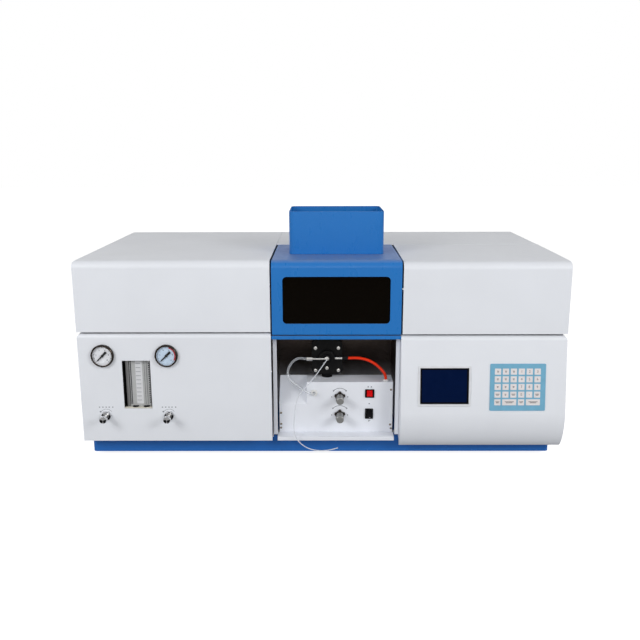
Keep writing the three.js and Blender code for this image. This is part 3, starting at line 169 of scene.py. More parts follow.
class Finish:
    """A material whose nodes are added one call at a time."""

    def __init__(self, name, **constants):
        self.material = bpy.data.materials.new(name)
        self.material.use_nodes = True
        self.tree = self.material.node_tree
        self.tree.nodes.clear()
        self.shader = self.tree.nodes.new("ShaderNodeBsdfPrincipled")
        output = self.tree.nodes.new("ShaderNodeOutputMaterial")
        self.tree.links.new(self.shader.outputs["BSDF"], output.inputs["Surface"])
        for socket, value in constants.items():
            self.set(socket.replace("_", " "), value)

    def node(self, kind, settings=None, inputs=None, output=0):
        made = self.tree.nodes.new(kind)
        for setting, value in (settings or {}).items():
            if setting == "stops":
                ramp = made.color_ramp.elements
                while len(ramp) < len(value):
                    ramp.new(1)
                for stop, (position, colour) in zip(ramp, value):
                    stop.position, stop.color = position, (*colour, 1)
            else:
                setattr(made, setting, value)
        for socket, value in (inputs or {}).items():
            self.feed(made.inputs[socket], value)
        return Value(self, made.outputs[output])

    def feed(self, socket, value):
        if isinstance(value, Value):
            self.tree.links.new(value.socket, socket)
        elif socket.type == "RGBA":
            socket.default_value = (*value, 1)
        else:
            socket.default_value = value

    def set(self, socket, value):
        self.feed(self.shader.inputs[socket], value)

    def place(self, scale=(1, 1, 1)):
        """Object coordinates, scaled where a pattern runs longer one way."""
        where = self.node("ShaderNodeTexCoord", output="Object")
        if scale == (1, 1, 1):
            return where
        return self.node("ShaderNodeMapping", None, {"Vector": where, "Scale": scale})

    def noise(self, place, scale, detail=2.0, rough=0.5):
        inputs = {"Vector": place, "Scale": scale, "Detail": detail, "Roughness": rough}
        return self.node("ShaderNodeTexNoise", None, inputs, "Fac")

    def mix(self, factor, first, second):
        inputs = {0: factor, 6: first, 7: second}
        return self.node("ShaderNodeMix", {"data_type": "RGBA"}, inputs, 2)

    def between(self, value, low, high, start=0.0, end=1.0):
        inputs = {"Value": value, "From Min": low, "From Max": high, "To Min": start, "To Max": end}
        return self.node("ShaderNodeMapRange", {"clamp": True}, inputs)

    def axis(self, place, name):
        return self.node("ShaderNodeSeparateXYZ", None, {0: place}, name)

    def bump(self, height, depth, strength=1.0):
        inputs = {"Height": height, "Distance": depth, "Strength": strength}
        self.set("Normal", self.node("ShaderNodeBump", None, inputs, "Normal"))


def flanked(name, colour, flank, rough):
    """Polished metal with a painted dark reflection: its flanks turn darker than its face."""
    finish = Finish(name, Metallic=1.0)
    facing = finish.node("ShaderNodeLayerWeight", None, {"Blend": 0.5}, "Facing")
    cloud = finish.noise(finish.place(), 240, 3, 0.6)
    # Painted reflection: the colour darkens to the flank colour where the surface turns away.
    edge = finish.between(facing + (cloud - 0.5) * 0.2, 0.12, 0.42)
    finish.set("Base Color", finish.mix(edge, colour, flank))
    finish.set("Roughness", finish.between(cloud, 0.3, 0.7, rough - 0.04, rough + 0.06))
    finish.bump(cloud, 0.00001, 0.3)
    return finish.material


def shade(colour, factor):
    return tuple(channel * factor for channel in colour)


def linear(text):
    """A colour written as six hexadecimal digits, in linear light."""
    channels = (int(text[i : i + 2], 16) / 255 for i in (0, 2, 4))
    return tuple(c / 12.92 if c <= 0.04045 else ((c + 0.055) / 1.055) ** 2.4 for c in channels)


# Finishes

PEEL_DEPTH = 0.00006  # of the orange peel of powder coat, in metres


def paint(name, colour, rough=0.4, dust_and_sheen=0.05, dust_and_sheen_colour=(0.62, 0.61, 0.6), **constants):
    """Powder coat: a fine orange peel, a little unevenness and some dust on what faces up, which on the
    blue paint is mostly a painted grey sheen on the tops.
    """
    finish = Finish(name, **constants)
    place = finish.place()
    cloud = finish.noise(place, 9, 3)
    smear = finish.noise(finish.place(scale=(1, 1, 0.35)), 60, 4, 0.6)
    peel = finish.noise(place, 700, 2)
    speck = finish.noise(place, 2600, 1)
    even = finish.mix(finish.between(cloud, 0.35, 0.65), shade(colour, 0.975), colour)
    up = finish.axis(finish.node("ShaderNodeNewGeometry", output="Normal"), "Z")
    # Dust on what faces up; where it is strong, as on the blue paint, it is a painted sheen on the tops.
    dust_and_sheen_mask = finish.between(up, 0.6, 1.0) * finish.between(smear, 0.2, 0.8, 0.3, 0.7) * dust_and_sheen
    finish.set("Base Color", finish.mix(dust_and_sheen_mask, even, dust_and_sheen_colour))
    finish.set("Roughness", finish.between(smear, 0.3, 0.75, rough - 0.05, rough + 0.06) + dust_and_sheen_mask)
    finish.bump(peel + speck * 0.35, PEEL_DEPTH, 0.5)
    return finish.material


def metal(name, colour, rough, scale, grain=(1, 1, 1), depth=0.00002):
    """Bare metal with grinding lines along one direction and a faint stain."""
    finish = Finish(name, Metallic=1.0)
    lines = finish.noise(finish.place(scale=grain), scale, 4, 0.65)
    cloud = finish.noise(finish.place(), 22, 4, 0.6)
    tone = finish.mix(finish.between(lines, 0.3, 0.7), shade(colour, 0.8), colour)
    mark = finish.between(cloud, 0.48, 0.72)
    finish.set("Base Color", finish.mix(mark * 0.5, tone, shade(colour, 0.72)))
    finish.set("Roughness", finish.between(lines, 0.25, 0.75, rough - 0.06, rough + 0.08) + mark * 0.06)
    finish.bump(lines, depth, 0.6)
    return finish.material


def plastic(name, colour, rough=0.4, grain=1400, depth=0.00004, coat=0.0, level=0.5):
    """Moulded plastic: a fine texture, with handling marks in its gloss."""
    finish = Finish(name, Coat_Weight=coat, Coat_Roughness=0.08, Specular_IOR_Level=level)
    place = finish.place()
    texture = finish.noise(place, grain, 2)
    cloud = finish.noise(place, 70, 4, 0.6)
    finish.set("Base Color", finish.mix(finish.between(cloud, 0.3, 0.7), shade(colour, 0.9), colour))
    finish.set("Roughness", finish.between(cloud, 0.3, 0.7, rough - 0.06, rough + 0.08))
    finish.bump(texture, depth, 0.5)
    return finish.material


def lining(name):
    """Rolled sheet of the bay: brown-black above, a painted dark reflection; paler and duller near the
    burner box, a painted pool of light where lamp light reaches the wall over the box.
    """
    finish = Finish(name)
    lines = finish.noise(finish.place(scale=(1, 1, 40)), 90, 4, 0.65)
    cloud = finish.noise(finish.place(), 22, 4, 0.6)
    height = finish.axis(finish.place(), "Z") + (cloud - 0.5) * 0.012
    # Painted light: the low mask makes the sheet paler, less metallic and rougher near the burner box.
    low = finish.between(height, 0.112, 0.164, 1.0, 0.0)
    low = low * low
    # upper is the painted dark reflection, lower the painted pool of light; the lines are the sheet's
    # own grain.
    upper = finish.mix(finish.between(lines, 0.3, 0.7), (0.085, 0.066, 0.056), (0.11, 0.088, 0.076))
    lower = finish.mix(finish.between(lines, 0.3, 0.7), (0.8, 0.77, 0.76), (0.95, 0.92, 0.91))
    finish.set("Base Color", finish.mix(low, upper, lower))
    finish.set("Metallic", 1.0 - low)
    finish.set("Roughness", finish.between(lines, 0.25, 0.75, 0.24, 0.36) + low * 0.25)
    finish.bump(lines, 0.00002, 0.6)
    return finish.material


def casting(name, colour, rough=0.55):
    finish = Finish(name, Metallic=0.55)
    place = finish.place()
    sand = finish.noise(place, 520, 4, 0.7)
    cloud = finish.noise(place, 30, 3)
    finish.set("Base Color", finish.mix(finish.between(cloud, 0.3, 0.7), shade(colour, 0.82), colour))
    finish.set("Roughness", finish.between(sand, 0.3, 0.7, rough - 0.08, rough + 0.1))
    finish.bump(sand, 0.00012, 0.6)
    return finish.material


def glass(name, colour, clear, edge, rough=0.04, streak=0.0, level=0.5, rim=None):
    """Clear stock: see-through face on, denser and glossier at its edges, where a rim colour, if given,
    is a painted dark edge.
    """
    finish = Finish(name, Coat_Weight=0.0, IOR=1.5, Specular_IOR_Level=level)
    facing = finish.node("ShaderNodeLayerWeight", None, {"Blend": 0.35}, "Facing")
    cloud = finish.noise(finish.place(), 160, 3)
    tone = finish.mix(finish.between(cloud, 0.3, 0.7), shade(colour, 0.93), colour)
    # Painted dark edges: a given rim colour darkens the edges, as a clear tube's edges show dark by
    # refraction.
    finish.set("Base Color", finish.mix(finish.between(facing, 0.45, 0.95), tone, rim or colour))
    finish.set("Roughness", finish.between(cloud, 0.35, 0.7, rough, rough + 0.05))
    finish.set("Alpha", finish.between(facing, 0.0, 0.9, clear, edge) + cloud * streak)
    return finish.material


def heated(name):
    """Titanium with straw and blue heat tints towards the slot."""
    finish = Finish(name, Metallic=1.0)
    place = finish.place()
    level = finish.axis(place, "Z")
    cloud = finish.noise(place, 45, 4, 0.6)
    heat = finish.between(level, 0.292, 0.326) + (cloud - 0.5) * 0.35
    stops = [
        (0.0, (0.36, 0.35, 0.34)),
        (0.55, (0.44, 0.37, 0.27)),
        (0.8, (0.3, 0.22, 0.26)),
        (1.0, (0.16, 0.2, 0.34)),
    ]
    tint = finish.node("ShaderNodeValToRGB", {"stops": stops}, {"Fac": heat}, "Color")
    lines = finish.noise(finish.place(scale=(1, 30, 30)), 60, 4, 0.6)
    finish.set("Base Color", tint)
    finish.set("Roughness", finish.between(lines, 0.3, 0.7, 0.3, 0.46))
    finish.bump(lines, 0.00003, 0.5)
    return finish.material


FINISHES = {
    "white_paint": paint("white_paint", linear("e9ecf2"), rough=0.42),
    "bay_white": paint("bay_white", linear("edf0f7"), rough=0.42),
    # The strong dust on what faces up is mostly a painted grey sheen on the hood's tops.
    "blue_paint": paint(
        "blue_paint",
        linear("2175c2"),
        rough=0.3,
        dust_and_sheen=0.45,
        dust_and_sheen_colour=(0.5, 0.42, 0.34),
        Specular_IOR_Level=0.3,
    ),
    "plinth_blue": paint("plinth_blue", linear("296dbf"), rough=0.4, dust_and_sheen=0.03, Specular_IOR_Level=0.25),
    "stainless": lining("stainless"),
    "zinc_plate": metal("zinc_plate", (0.55, 0.56, 0.56), rough=0.38, scale=300),
    "titanium": heated("titanium"),
    "chrome": metal("chrome", (0.72, 0.72, 0.73), rough=0.12, scale=200, depth=0.000005),
    # A chrome whose dark brown colour is a painted dark reflection, darker still on its flanks.
    "chrome_painted_dark_reflection": flanked("chrome_painted_dark_reflection", (0.055, 0.042, 0.036), (0.008, 0.006, 0.006), rough=0.14),
    "screw_bronze": metal("screw_bronze", (0.3, 0.25, 0.2), rough=0.3, scale=400),
    "satin_aluminium": metal("satin_aluminium", (0.34, 0.34, 0.33), rough=0.42, scale=600),
    "bright_steel": metal("bright_steel", (0.6, 0.59, 0.57), rough=0.2, scale=300),
    "grey_casting": casting("grey_casting", (0.18, 0.185, 0.195)),
    "black_plastic": plastic("black_plastic", (0.005, 0.005, 0.0052), rough=0.42, level=0.12),
    "black_gloss_plastic": plastic("black_gloss_plastic", (0.004, 0.004, 0.005), rough=0.25, level=0.1),
    "black_rubber": plastic("black_rubber", (0.006, 0.006, 0.007), rough=0.62, grain=900, level=0.12),
    "red_plastic": plastic("red_plastic", linear("d80408"), rough=0.25, coat=0.04, level=0.1),
    "white_plastic": plastic("white_plastic", linear("f0f0ee"), rough=0.38),
    "bezel_white": plastic("bezel_white", linear("e4e6ea"), rough=0.35),
    "red_hose": plastic("red_hose", linear("f03208"), rough=0.3, grain=500, coat=0.05, level=0.2),
    # The clear tube's rim colour paints its edges dark.
    "clear_tube": glass("clear_tube", (0.8, 0.83, 0.87), 0.14, 0.8, streak=0.08, rim=(0.46, 0.48, 0.5)),
    "milky_tube": glass("milky_tube", (0.86, 0.89, 0.95), 0.7, 1.0, streak=0.1),
    "clear_acrylic": glass("clear_acrylic", (0.8, 0.81, 0.81), 0.56, 0.8),
    "clear_glass": glass("clear_glass", (0.9, 0.92, 0.94), 0.0, 0.3, level=0.3),
    "smoked_pane": glass("smoked_pane", (0.003, 0.002, 0.001), 0.96, 1.0, rough=0.03, level=0.03),
    "screen_glass": plastic(
        "screen_glass", linear("02143a"), rough=0.12, grain=2000, depth=0.000004, level=0.04
    ),
    "keypad_blue": plastic("keypad_blue", linear("77b3d1"), rough=0.4, grain=1800, level=0.3),
    "key_grey": plastic("key_grey", linear("ece6e6"), rough=0.42, grain=1800),
    "ink": plastic("ink", linear("2a2c32"), rough=0.5, grain=900),
    "grey_ink": plastic("grey_ink", linear("8c9097"), rough=0.5, grain=900),
    "key_ink": plastic("key_ink", linear("5c5a5c"), rough=0.5, grain=900),
    "red_ink": plastic("red_ink", linear("d8404c"), rough=0.45, grain=900),
    "dial_white": plastic("dial_white", linear("f6f8fd"), rough=0.45, grain=1200),
    "dial_blue": plastic("dial_blue", linear("d6eaff"), rough=0.45, grain=1200),
    "needle_black": plastic("needle_black", (0.004, 0.004, 0.004), level=0.05),
    "flow_backing": plastic("flow_backing", linear("dcdde0"), rough=0.5),
    "cream": plastic("cream", linear("e6e2d4"), rough=0.45),
    "flow_grey": metal("flow_grey", (0.3, 0.3, 0.3), rough=0.5, grain=(30, 30, 1), scale=120),
    "border_black": plastic("border_black", (0.002, 0.002, 0.004), rough=0.3, grain=2000, level=0.05),
    "pin_brass": metal("pin_brass", (0.62, 0.46, 0.2), rough=0.25, scale=300),
}


# Modelling by hand


def grown(pair, by):
    return (pair[0] - by, pair[1] + by)


def settle():
    """Object mode with nothing selected."""
    if bpy.context.mode != "OBJECT":
        bpy.ops.object.mode_set(mode="OBJECT")
    bpy.ops.object.select_all(action="DESELECT")


def take(piece):
    settle()
    piece.select_set(True)
    bpy.context.view_layer.objects.active = piece


def where(**planes):
    """Picks what lies on the given planes, such as y=0 and z=436."""
    return lambda points: all(
        abs(getattr(point, axis) - level) < TOUCH for point in points for axis, level in planes.items()
    )


def running(axis):
    """Picks the edges that run along an axis."""
    across = [name for name in "xyz" if name != axis]
    return lambda points: len(points) == 2 and all(
        abs(getattr(points[0], name) - getattr(points[1], name)) < TOUCH for name in across
    )


def pick(piece, kind, wanted):
    """Edit mode with only the wanted faces or edges selected, by the places of their corners."""
    take(piece)
    bpy.ops.object.mode_set(mode="EDIT")
    bpy.ops.mesh.select_mode(type=kind)
    bpy.ops.mesh.select_all(action="DESELECT")
    mesh = bmesh.from_edit_mesh(piece.data)
    for part in mesh.faces if kind == "FACE" else mesh.edges:
        if wanted([place_of(corner.co) for corner in part.verts]):
            part.select_set(True)
    bmesh.update_edit_mesh(piece.data)


def select_mesh():
    bpy.ops.mesh.select_all(action="SELECT")


def moved(piece, matrix):
    """Puts a piece in its place and leaves its object at the origin."""
    take(piece)
    piece.matrix_world = matrix
    bpy.ops.object.transform_apply()
    return piece


def cube(place, size, turn=(0, 0, 0)):
    settle()
    bpy.ops.mesh.primitive_cube_add(size=1, location=place, scale=size, rotation=turn)
    bpy.ops.object.transform_apply()
    return bpy.context.object


def block(xs, ys, zs):
    """A cube added at its size and place."""
    low, high = at(xs[0], ys[0], zs[0]), at(xs[1], ys[1], zs[1])
    return cube((low + high) / 2, high - low)


def rounded(xs, ys, zs, radius, wanted, segments=8):
    piece = block(xs, ys, zs)
    return round_edges(piece, radius, wanted, segments)


def round_edges(piece, radius, wanted, segments=10):
    if radius > 0:
        pick(piece, "EDGE", wanted)
        bpy.ops.mesh.bevel(offset=radius * MM, segments=segments, affect="EDGES")
    settle()
    return piece


def combine(piece, tool, operation="DIFFERENCE"):
    modifier = piece.modifiers.new("combine", "BOOLEAN")
    modifier.operation, modifier.object, modifier.solver = operation, tool, "EXACT"
    take(piece)
    bpy.ops.object.modifier_apply(modifier=modifier.name)
    bpy.data.objects.remove(tool)
    return piece


def cut(piece, *tools):
    for tool in tools:
        combine(piece, tool)
    return piece


def cylinder(sides, radius, depth, place, turn):
    settle()
    bpy.ops.mesh.primitive_cylinder_add(
        vertices=sides, radius=radius * MM, depth=depth * MM, location=place, rotation=turn
    )
    bpy.ops.object.transform_apply()
    return bpy.context.object


def bore(radius, x, z, y0, y1):
    """A cylinder along y, for a hole through a front."""
    return cylinder(64, radius, y1 - y0, at(x, (y0 + y1) / 2, z), (math.pi / 2, 0, 0))


def prism(radius, low, high, sides=6, spin=0.0):
    """A bar with flat sides along z at the origin, such as a nut."""
    return cylinder(sides, radius, high - low, (0, 0, (low + high) / 2 * MM), (0, 0, math.radians(spin)))


def chain(corners):
    """A line of edges through the corners, left in edit mode with all of it selected."""
    settle()
    bpy.ops.mesh.primitive_plane_add(size=MM, location=(0, 0, 0))
    piece = bpy.context.object
    bpy.ops.object.mode_set(mode="EDIT")
    bpy.ops.mesh.select_mode(type="VERT")
    select_mesh()
    bpy.ops.mesh.merge(type="CENTER")
    bpy.ops.transform.translate(value=corners[0])
    for here, there in zip(corners, corners[1:]):
        bpy.ops.mesh.extrude_region_move(TRANSFORM_OT_translate={"value": there - here})
    select_mesh()
    return piece


def drawn_out(corners, run):
    """A bar with the outline of the corners, filled and extruded by a run in metres."""
    piece = chain([*corners, corners[0]])
    bpy.ops.mesh.remove_doubles(threshold=WELD)
    bpy.ops.mesh.edge_face_add()
    bpy.ops.mesh.extrude_region_move(TRANSFORM_OT_translate={"value": run})
    select_mesh()
    bpy.ops.mesh.normals_make_consistent(inside=False)
    settle()
    return piece


def slab(corners, xs):
    """A bar along x, from the [y, z] corners of its side."""
    return drawn_out([at(xs[0], y, z) for y, z in corners], ((xs[1] - xs[0]) * MM, 0, 0))


def plate(corners, low, high):
    """A flat piece at the origin, from the [x, y] corners of its outline."""
    return drawn_out([Vector((x, y, low)) * MM for x, y in corners], (0, 0, (high - low) * MM))


def turned(profile, sides=64, start=0.0, sweep=360.0):
    """A piece turned about z at the origin, from [radius, height] pairs."""
    turn = Matrix.Rotation(math.radians(start), 3, "Z")
    piece = chain([turn @ Vector((radius * MM, 0, height * MM)) for radius, height in profile])
    bpy.ops.mesh.spin(steps=sides, angle=-math.radians(sweep), center=(0, 0, 0), axis=(0, 0, 1))
    select_mesh()
    bpy.ops.mesh.remove_doubles(threshold=WELD)
    if sweep < 360:
        select_mesh()
        bpy.ops.mesh.fill_holes(sides=0)
        select_mesh()
    bpy.ops.mesh.normals_make_consistent(inside=False)
    settle()
    return piece


def ring(inner, outer, low, high, **turning):
    profile = [(inner, low), (outer, low), (outer, high), (inner, high), (inner, low)]
    return turned(profile, **turning)


UP = Matrix.Identity(4)
FORWARD = Matrix.Rotation(math.pi / 2, 4, "X")  # z becomes -y, towards the front
BACKWARD = Matrix.Rotation(-math.pi / 2, 4, "X")
LEFTWARD = Matrix.Rotation(-math.pi / 2, 4, "Y")
RIGHTWARD = Matrix.Rotation(math.pi / 2, 4, "Y")


def stand(piece, way, x, y, z):
    """Turns a piece that was made at the origin to its direction and puts it in its place."""
    return moved(piece, Matrix.Translation(at(x, y, z)) @ way)


def tipped(piece, angle, y, z):
    """Turns a piece about a line along x."""
    pivot = Matrix.Translation(at(0, y, z))
    return moved(piece, pivot @ Matrix.Rotation(angle, 4, "X") @ pivot.inverted())


def refined(node):
    """A merged copy of a CAD node, to break its edges."""
    piece = copied(frame["nodes"][node])
    piece.parent = None
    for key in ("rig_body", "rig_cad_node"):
        if key in piece:
            del piece[key]
    take(piece)
    bpy.ops.object.mode_set(mode="EDIT")
    select_mesh()
    bpy.ops.mesh.remove_doubles(threshold=MM / 100)
    select_mesh()
    bpy.ops.mesh.dissolve_limited(angle_limit=math.radians(1))
    select_mesh()
    bpy.ops.mesh.normals_make_consistent(inside=False)
    settle()
    return piece


def copied(piece):
    twin = piece.copy()
    twin.data = piece.data.copy()
    bpy.context.scene.collection.objects.link(twin)
    return twin


def joined(pieces):
    settle()
    for piece in pieces:
        piece.select_set(True)
    bpy.context.view_layer.objects.active = pieces[0]
    bpy.ops.object.join()
    return bpy.context.object


def soften(piece, width=0.4, segments=2, angle=40):
    """Breaks the sharp edges."""
    modifier = piece.modifiers.new("soften", "BEVEL")
    modifier.width = width * MM
    modifier.segments = segments
    modifier.limit_method = "ANGLE"
    modifier.angle_limit = math.radians(angle)
    take(piece)
    bpy.ops.object.modifier_apply(modifier=modifier.name)
    return piece


def smooth(piece, angle=32):
    take(piece)
    bpy.ops.object.shade_smooth_by_angle(angle=math.radians(angle))
    modifier = piece.modifiers.new("level", "WEIGHTED_NORMAL")
    modifier.keep_sharp = True
    bpy.ops.object.modifier_apply(modifier=modifier.name)
    return piece


def fit(piece, name, finish, body="root", nodes=(), edge=0.4, segments=2, angle=32):
    """Names a piece, breaks its edges, gives it its finish and puts it on its body."""
    piece.name = piece.data.name = name
    if edge:
        soften(piece, edge, segments)
    smooth(piece, angle)
    piece.data.materials.clear()
    piece.data.materials.append(FINISHES[finish])
    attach(piece, body)
    if nodes:
        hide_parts(*nodes)
    settle()
    return piece


def lathe(name, finish, profile, sides, way, place, body="root", nodes=(), angle=32):
    """A turned piece that stands one way at its place, in its finish."""
    return fit(stand(turned(profile, sides), way, *place), name, finish, body, nodes, 0, angle=angle)


def dress(node, name, finish, body="root", edge=0.8, segments=2):
    """The form of a CAD node with its edges broken, in its finish."""
    return fit(refined(node), name, finish, body, [node], edge, segments)


# Hoses and the sample capillary, along the routes of the part's source

FUEL_ROUTE = [
    (52.6, 51.5, 215.8), (57, 51.5, 215.8), (64, 51.5, 216), (72, 51.4, 216.2), (80, 51.2, 215.8),
    (88, 50.8, 214.7), (96, 50.1, 212.7), (104, 49, 209.8), (111, 47.6, 206.3), (118, 45.8, 201.8),
    (124.6, 43.6, 196.4), (129.6, 41.6, 191.4), (133.3, 40, 186.6), (135.7, 39, 182),
    (137.1, 38.6, 177.6), (137.5, 38.5, 174), (137.5, 38.5, 172.9),
]
AIR_ROUTE = [
    (-29.3, 45.5, 215.8), (-34, 45.5, 215.8), (-39, 45.4, 216.5), (-45, 45, 217.4), (-51.5, 43.8, 217.2),
    (-58, 41.8, 214.4), (-64, 39, 209.6), (-69, 35.6, 203), (-72.2, 31.6, 195.2), (-72.4, 27, 187.4),
    (-69.4, 22, 180.4), (-63.6, 17, 174.4), (-56.2, 12.4, 169.2), (-48, 8.2, 164.6), (-40, 5.2, 160),
    (-32.6, 4.2, 155.6), (-25.8, 6, 151.4), (-20.4, 11, 147.6), (-17.4, 17.6, 145.2),
    (-16.8, 24.6, 144.6), (-16.8, 30.7, 144.6),
]
CAPILLARY_ROUTE = [
    (11, 44.9, 215.8), (10.65, 41.1, 215.4), (9.65, 38.4, 214.2), (8.1, 36.4, 212.4), (2.5, 31.5, 205.8),
    (-12.6, 20, 187.2), (-25.7, 9, 174.4), (-39.9, -1, 161.2), (-48.3, -4.6, 149), (-54.3, -7, 132.6),
    (-57.8, -8.8, 107.8), (-59.3, -10, 85.6), (-58, -10.4, 68.2), (-52, -10, 52.3), (-38.4, -9, 38.4),
    (-23.5, -8.4, 30.6), (-8.5, -8, 27.4), (8.6, -8, 27.6), (21.4, -8, 30), (34.2, -8, 33.7),
]
ROUTE_STEP = 1.5  # between the points of a drawn hose
HOSE_RINGS = 5  # resolution of a hose's round section


def smooth_route(corners):
    """Centripetal Catmull-Rom points through the corners of a route, in metres."""
    points = [at(*corner) for corner in corners]
    points = [points[0] * 2 - points[1], *points, points[-1] * 2 - points[-2]]
    line = []
    for before, here, there, after in zip(points, points[1:], points[2:], points[3:]):
        knots = [0.0]
        for one, two in ((before, here), (here, there), (there, after)):
            knots.append(knots[-1] + math.sqrt((two - one).length))
        steps = max(1, round((there - here).length / (ROUTE_STEP * MM)))
        for step in range(steps):
            line.append(barry_goldman(knots, (before, here, there, after), step / steps))
    line.append(points[-2])
    return line


def barry_goldman(knots, corners, share):
    t = knots[1] + (knots[2] - knots[1]) * share
    level = list(corners)
    for width in (1, 2):
        level = [
            (one * (knots[i + width] - t) + two * (t - knots[i])) / (knots[i + width] - knots[i])
            for i, (one, two) in enumerate(zip(level, level[1:]))
        ]
    one, two = level
    return (one * (knots[2] - t) + two * (t - knots[1])) / (knots[2] - knots[1])


def run_of(line):
    return sum((two - one).length for one, two in zip(line, line[1:]))


def tube(line, radius):
    """A mesh tube along a line of points."""
    curve = bpy.data.curves.new("tube", "CURVE")
    curve.dimensions = "3D"
    curve.bevel_depth = radius * MM
    curve.bevel_resolution = HOSE_RINGS
    curve.use_fill_caps = True
    spline = curve.splines.new("POLY")
    spline.points.add(len(line) - 1)
    for point, place in zip(spline.points, line):
        point.co = (*place, 1)
    piece = bpy.data.objects.new("tube", curve)
    bpy.context.scene.collection.objects.link(piece)
    take(piece)
    bpy.ops.object.convert(target="MESH")
    return bpy.context.object


def dress_hose(piece, name, finish, node):
    piece.name = piece.data.name = name
    smooth(piece, 60)
    piece.data.materials.clear()
    piece.data.materials.append(FINISHES[finish])
    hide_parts(node)


def make_hose(node, route, radius, finish, joint_at):
    """A hose from the burner to the box, in two stretches."""
    line = smooth_route(route)
    corner = min(range(len(line)), key=lambda i: (line[i] - at(*route[joint_at])).length)
    halves = [("upper", line[: corner + 1], "burner", "burner_slide")]
    halves.append(("lower", line[corner:], "burner_slide", "root"))
    for part, stretch, above, below in halves:
        piece = tube(stretch, radius)
        dress_hose(piece, f"{node}_{part}", finish, node)
        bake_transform(piece)
        run_of(stretch)


def make_capillary():
    line = smooth_route(CAPILLARY_ROUTE)
    piece = tube(line, 1.0)
    dress_hose(piece, "capillary_line", "milky_tube", "sample_capillary")
    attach(piece, "burner")
    run_of(line)


make_hose("fuel_hose", FUEL_ROUTE, 3.0, "red_hose", 8)
make_hose("air_tube", AIR_ROUTE, 2.5, "clear_tube", 9)
make_capillary()


# Sheet covers

GASES = ("air", "fuel")
WALL = 2.0  # thickness of the sheet


def hull(box, bends, slope=0.0, inset=0.0, opened=()):
    """The outside of a cover, or with an inset its inside, which runs out at the opened sides."""
    def wall(side):
        return -OVERRUN if inset and side in opened else inset

    xs = (box.x0 + wall("left"), box.x1 - wall("right"))
    ys = (box.y0 + wall("front"), box.y1 - wall("rear"))
    zs = (box.z0 + wall("bottom"), box.z1 - wall("top"))
    long = block(xs, ys, zs)
    if slope:
        pick(long, "EDGE", where(y=ys[0], z=zs[1]))
        bpy.ops.transform.translate(value=(0, 0, -slope * MM))
        settle()
    round_edges(long, max(bends.get("front", 0) - inset, 0), where(y=ys[0], z=zs[1] - slope), 12)
    if "curl" in bends and not (inset and "bottom" in opened):
        round_edges(long, bends["curl"] - inset, where(y=ys[0], z=zs[0]), 24)
    sides = [(side, x) for side, x in (("left", xs[0]), ("right", xs[1])) if side in bends]
    if sides:
        cross = block(xs, (ys[0] - OVERRUN, ys[1] + OVERRUN), (zs[0] - OVERRUN, zs[1]))
        for side, x in sides:
            round_edges(cross, max(bends[side] - inset, 0), where(x=x, z=zs[1]), 8)
        combine(long, cross, "INTERSECT")
    return long


def cover(box, bends, opened, slope=0.0):
    """A folded shell, open at some of its sides."""
    return combine(hull(box, bends, slope), hull(box, bends, slope, WALL, opened))


COVER_BEND = 16.0
SIDE_BEND = 7.0
SHOULDER = 10.0
SHOULDER_FLANGE = 18.0
LIP = 2  # of the flowmeter's window inside its housing
GAUGE_HOLE = 20.8
VALVE_HOLE = 5.3


def make_upper_covers():
    box = span("monochromator_cover")
    piece = cover(box, {"front": COVER_BEND, "left": SIDE_BEND}, ("right", "bottom"))
    fit(piece, "monochromator_cover_shell", "white_paint", nodes=["monochromator_cover"])
    box = span("lamp_cover")
    piece = cover(box, {"front": COVER_BEND, "right": SIDE_BEND}, ("left", "rear", "bottom"), slope=4.0)
    fit(piece, "lamp_lid_shell", "white_paint", "lamp_lid", ["lamp_cover"])
    box = span("rear_top_cover")
    piece = cover(box, {"right": SIDE_BEND}, ("left", "front", "bottom"))
    fit(piece, "rear_top_shell", "white_paint", nodes=["rear_top_cover"])


def make_gas_panel():
    box = span("gas_panel")
    piece = cover(box, {"front": SHOULDER, "left": SHOULDER}, ("right", "rear", "bottom"))
    window = span("flowmeter_housing")
    cut(
        piece,
        block(
            (box.x0 + SHOULDER_FLANGE, box.x1 + OVERRUN),
            (SHOULDER_FLANGE, box.y1 + OVERRUN),
            (box.z1 - OVERRUN, box.z1 + OVERRUN),
        ),
        block(
            grown((window.x0, window.x1), -LIP), (-OVERRUN, OVERRUN), grown((window.z0, window.z1), -LIP)
        ),
    )
    for name in GASES:
        gauge = middle(f"{name}_gauge_case")
        cut(piece, bore(GAUGE_HOLE, gauge.x, gauge.z, -OVERRUN, OVERRUN))
        cut(piece, bore(VALVE_HOLE, gauge.x, middle(f"{name}_valve_knob").z, -OVERRUN, OVERRUN))
    fit(piece, "gas_panel_shell", "white_paint", nodes=["gas_panel"])


SEAM = span("control_panel").z1
LEAN = math.atan(0.125)


def leaned(piece):
    """A piece made upright at the seam, leaned with the front of the control panel."""
    return tipped(piece, -LEAN, 0, SEAM)


def inset_corners(corners, walls):
    """Corners moved inwards by the walls of their two sides; wall i runs on from corner i."""
    moved = []
    for i, corner in enumerate(corners):
        here = Vector(corner)
        into = (here - Vector(corners[i - 1])).normalized()
        onwards = (Vector(corners[(i + 1) % len(corners)]) - here).normalized()
        turn = into.x * onwards.y - into.y * onwards.x
        moved.append(here + onwards * (walls[i - 1] / turn) - into * (walls[i] / turn))
    return moved


CHIN_BEND = 58.0
CHIN_RISE = 11.4  # of the corner under the bend, above the deck
CHIN_RUN = 33.7  # from that corner back to the tip
CHIN_FALL = 12.5  # of the tip, under the deck
HEEL_RUN = 23.9
DECK_OPENING = 75  # how far back the opening over the deck starts


def control_hull(box, corners, inset):
    xs = (box.x0 + inset, box.x1 - inset)
    piece = slab(corners, xs)
    for (y, z), bend, segments in ((corners[1], CHIN_BEND, 24), (corners[0], SHOULDER, 12)):
        round_edges(piece, bend - inset, where(y=y, z=z), segments)
    ys = (box.y0 - OVERRUN, box.y1 + 2 * OVERRUN)
    cross = block(xs, ys, (box.z0 - OVERRUN, SEAM - inset))
    round_edges(cross, SHOULDER - inset, where(x=xs[1], z=SEAM - inset), 8)
    return combine(piece, cross, "INTERSECT")


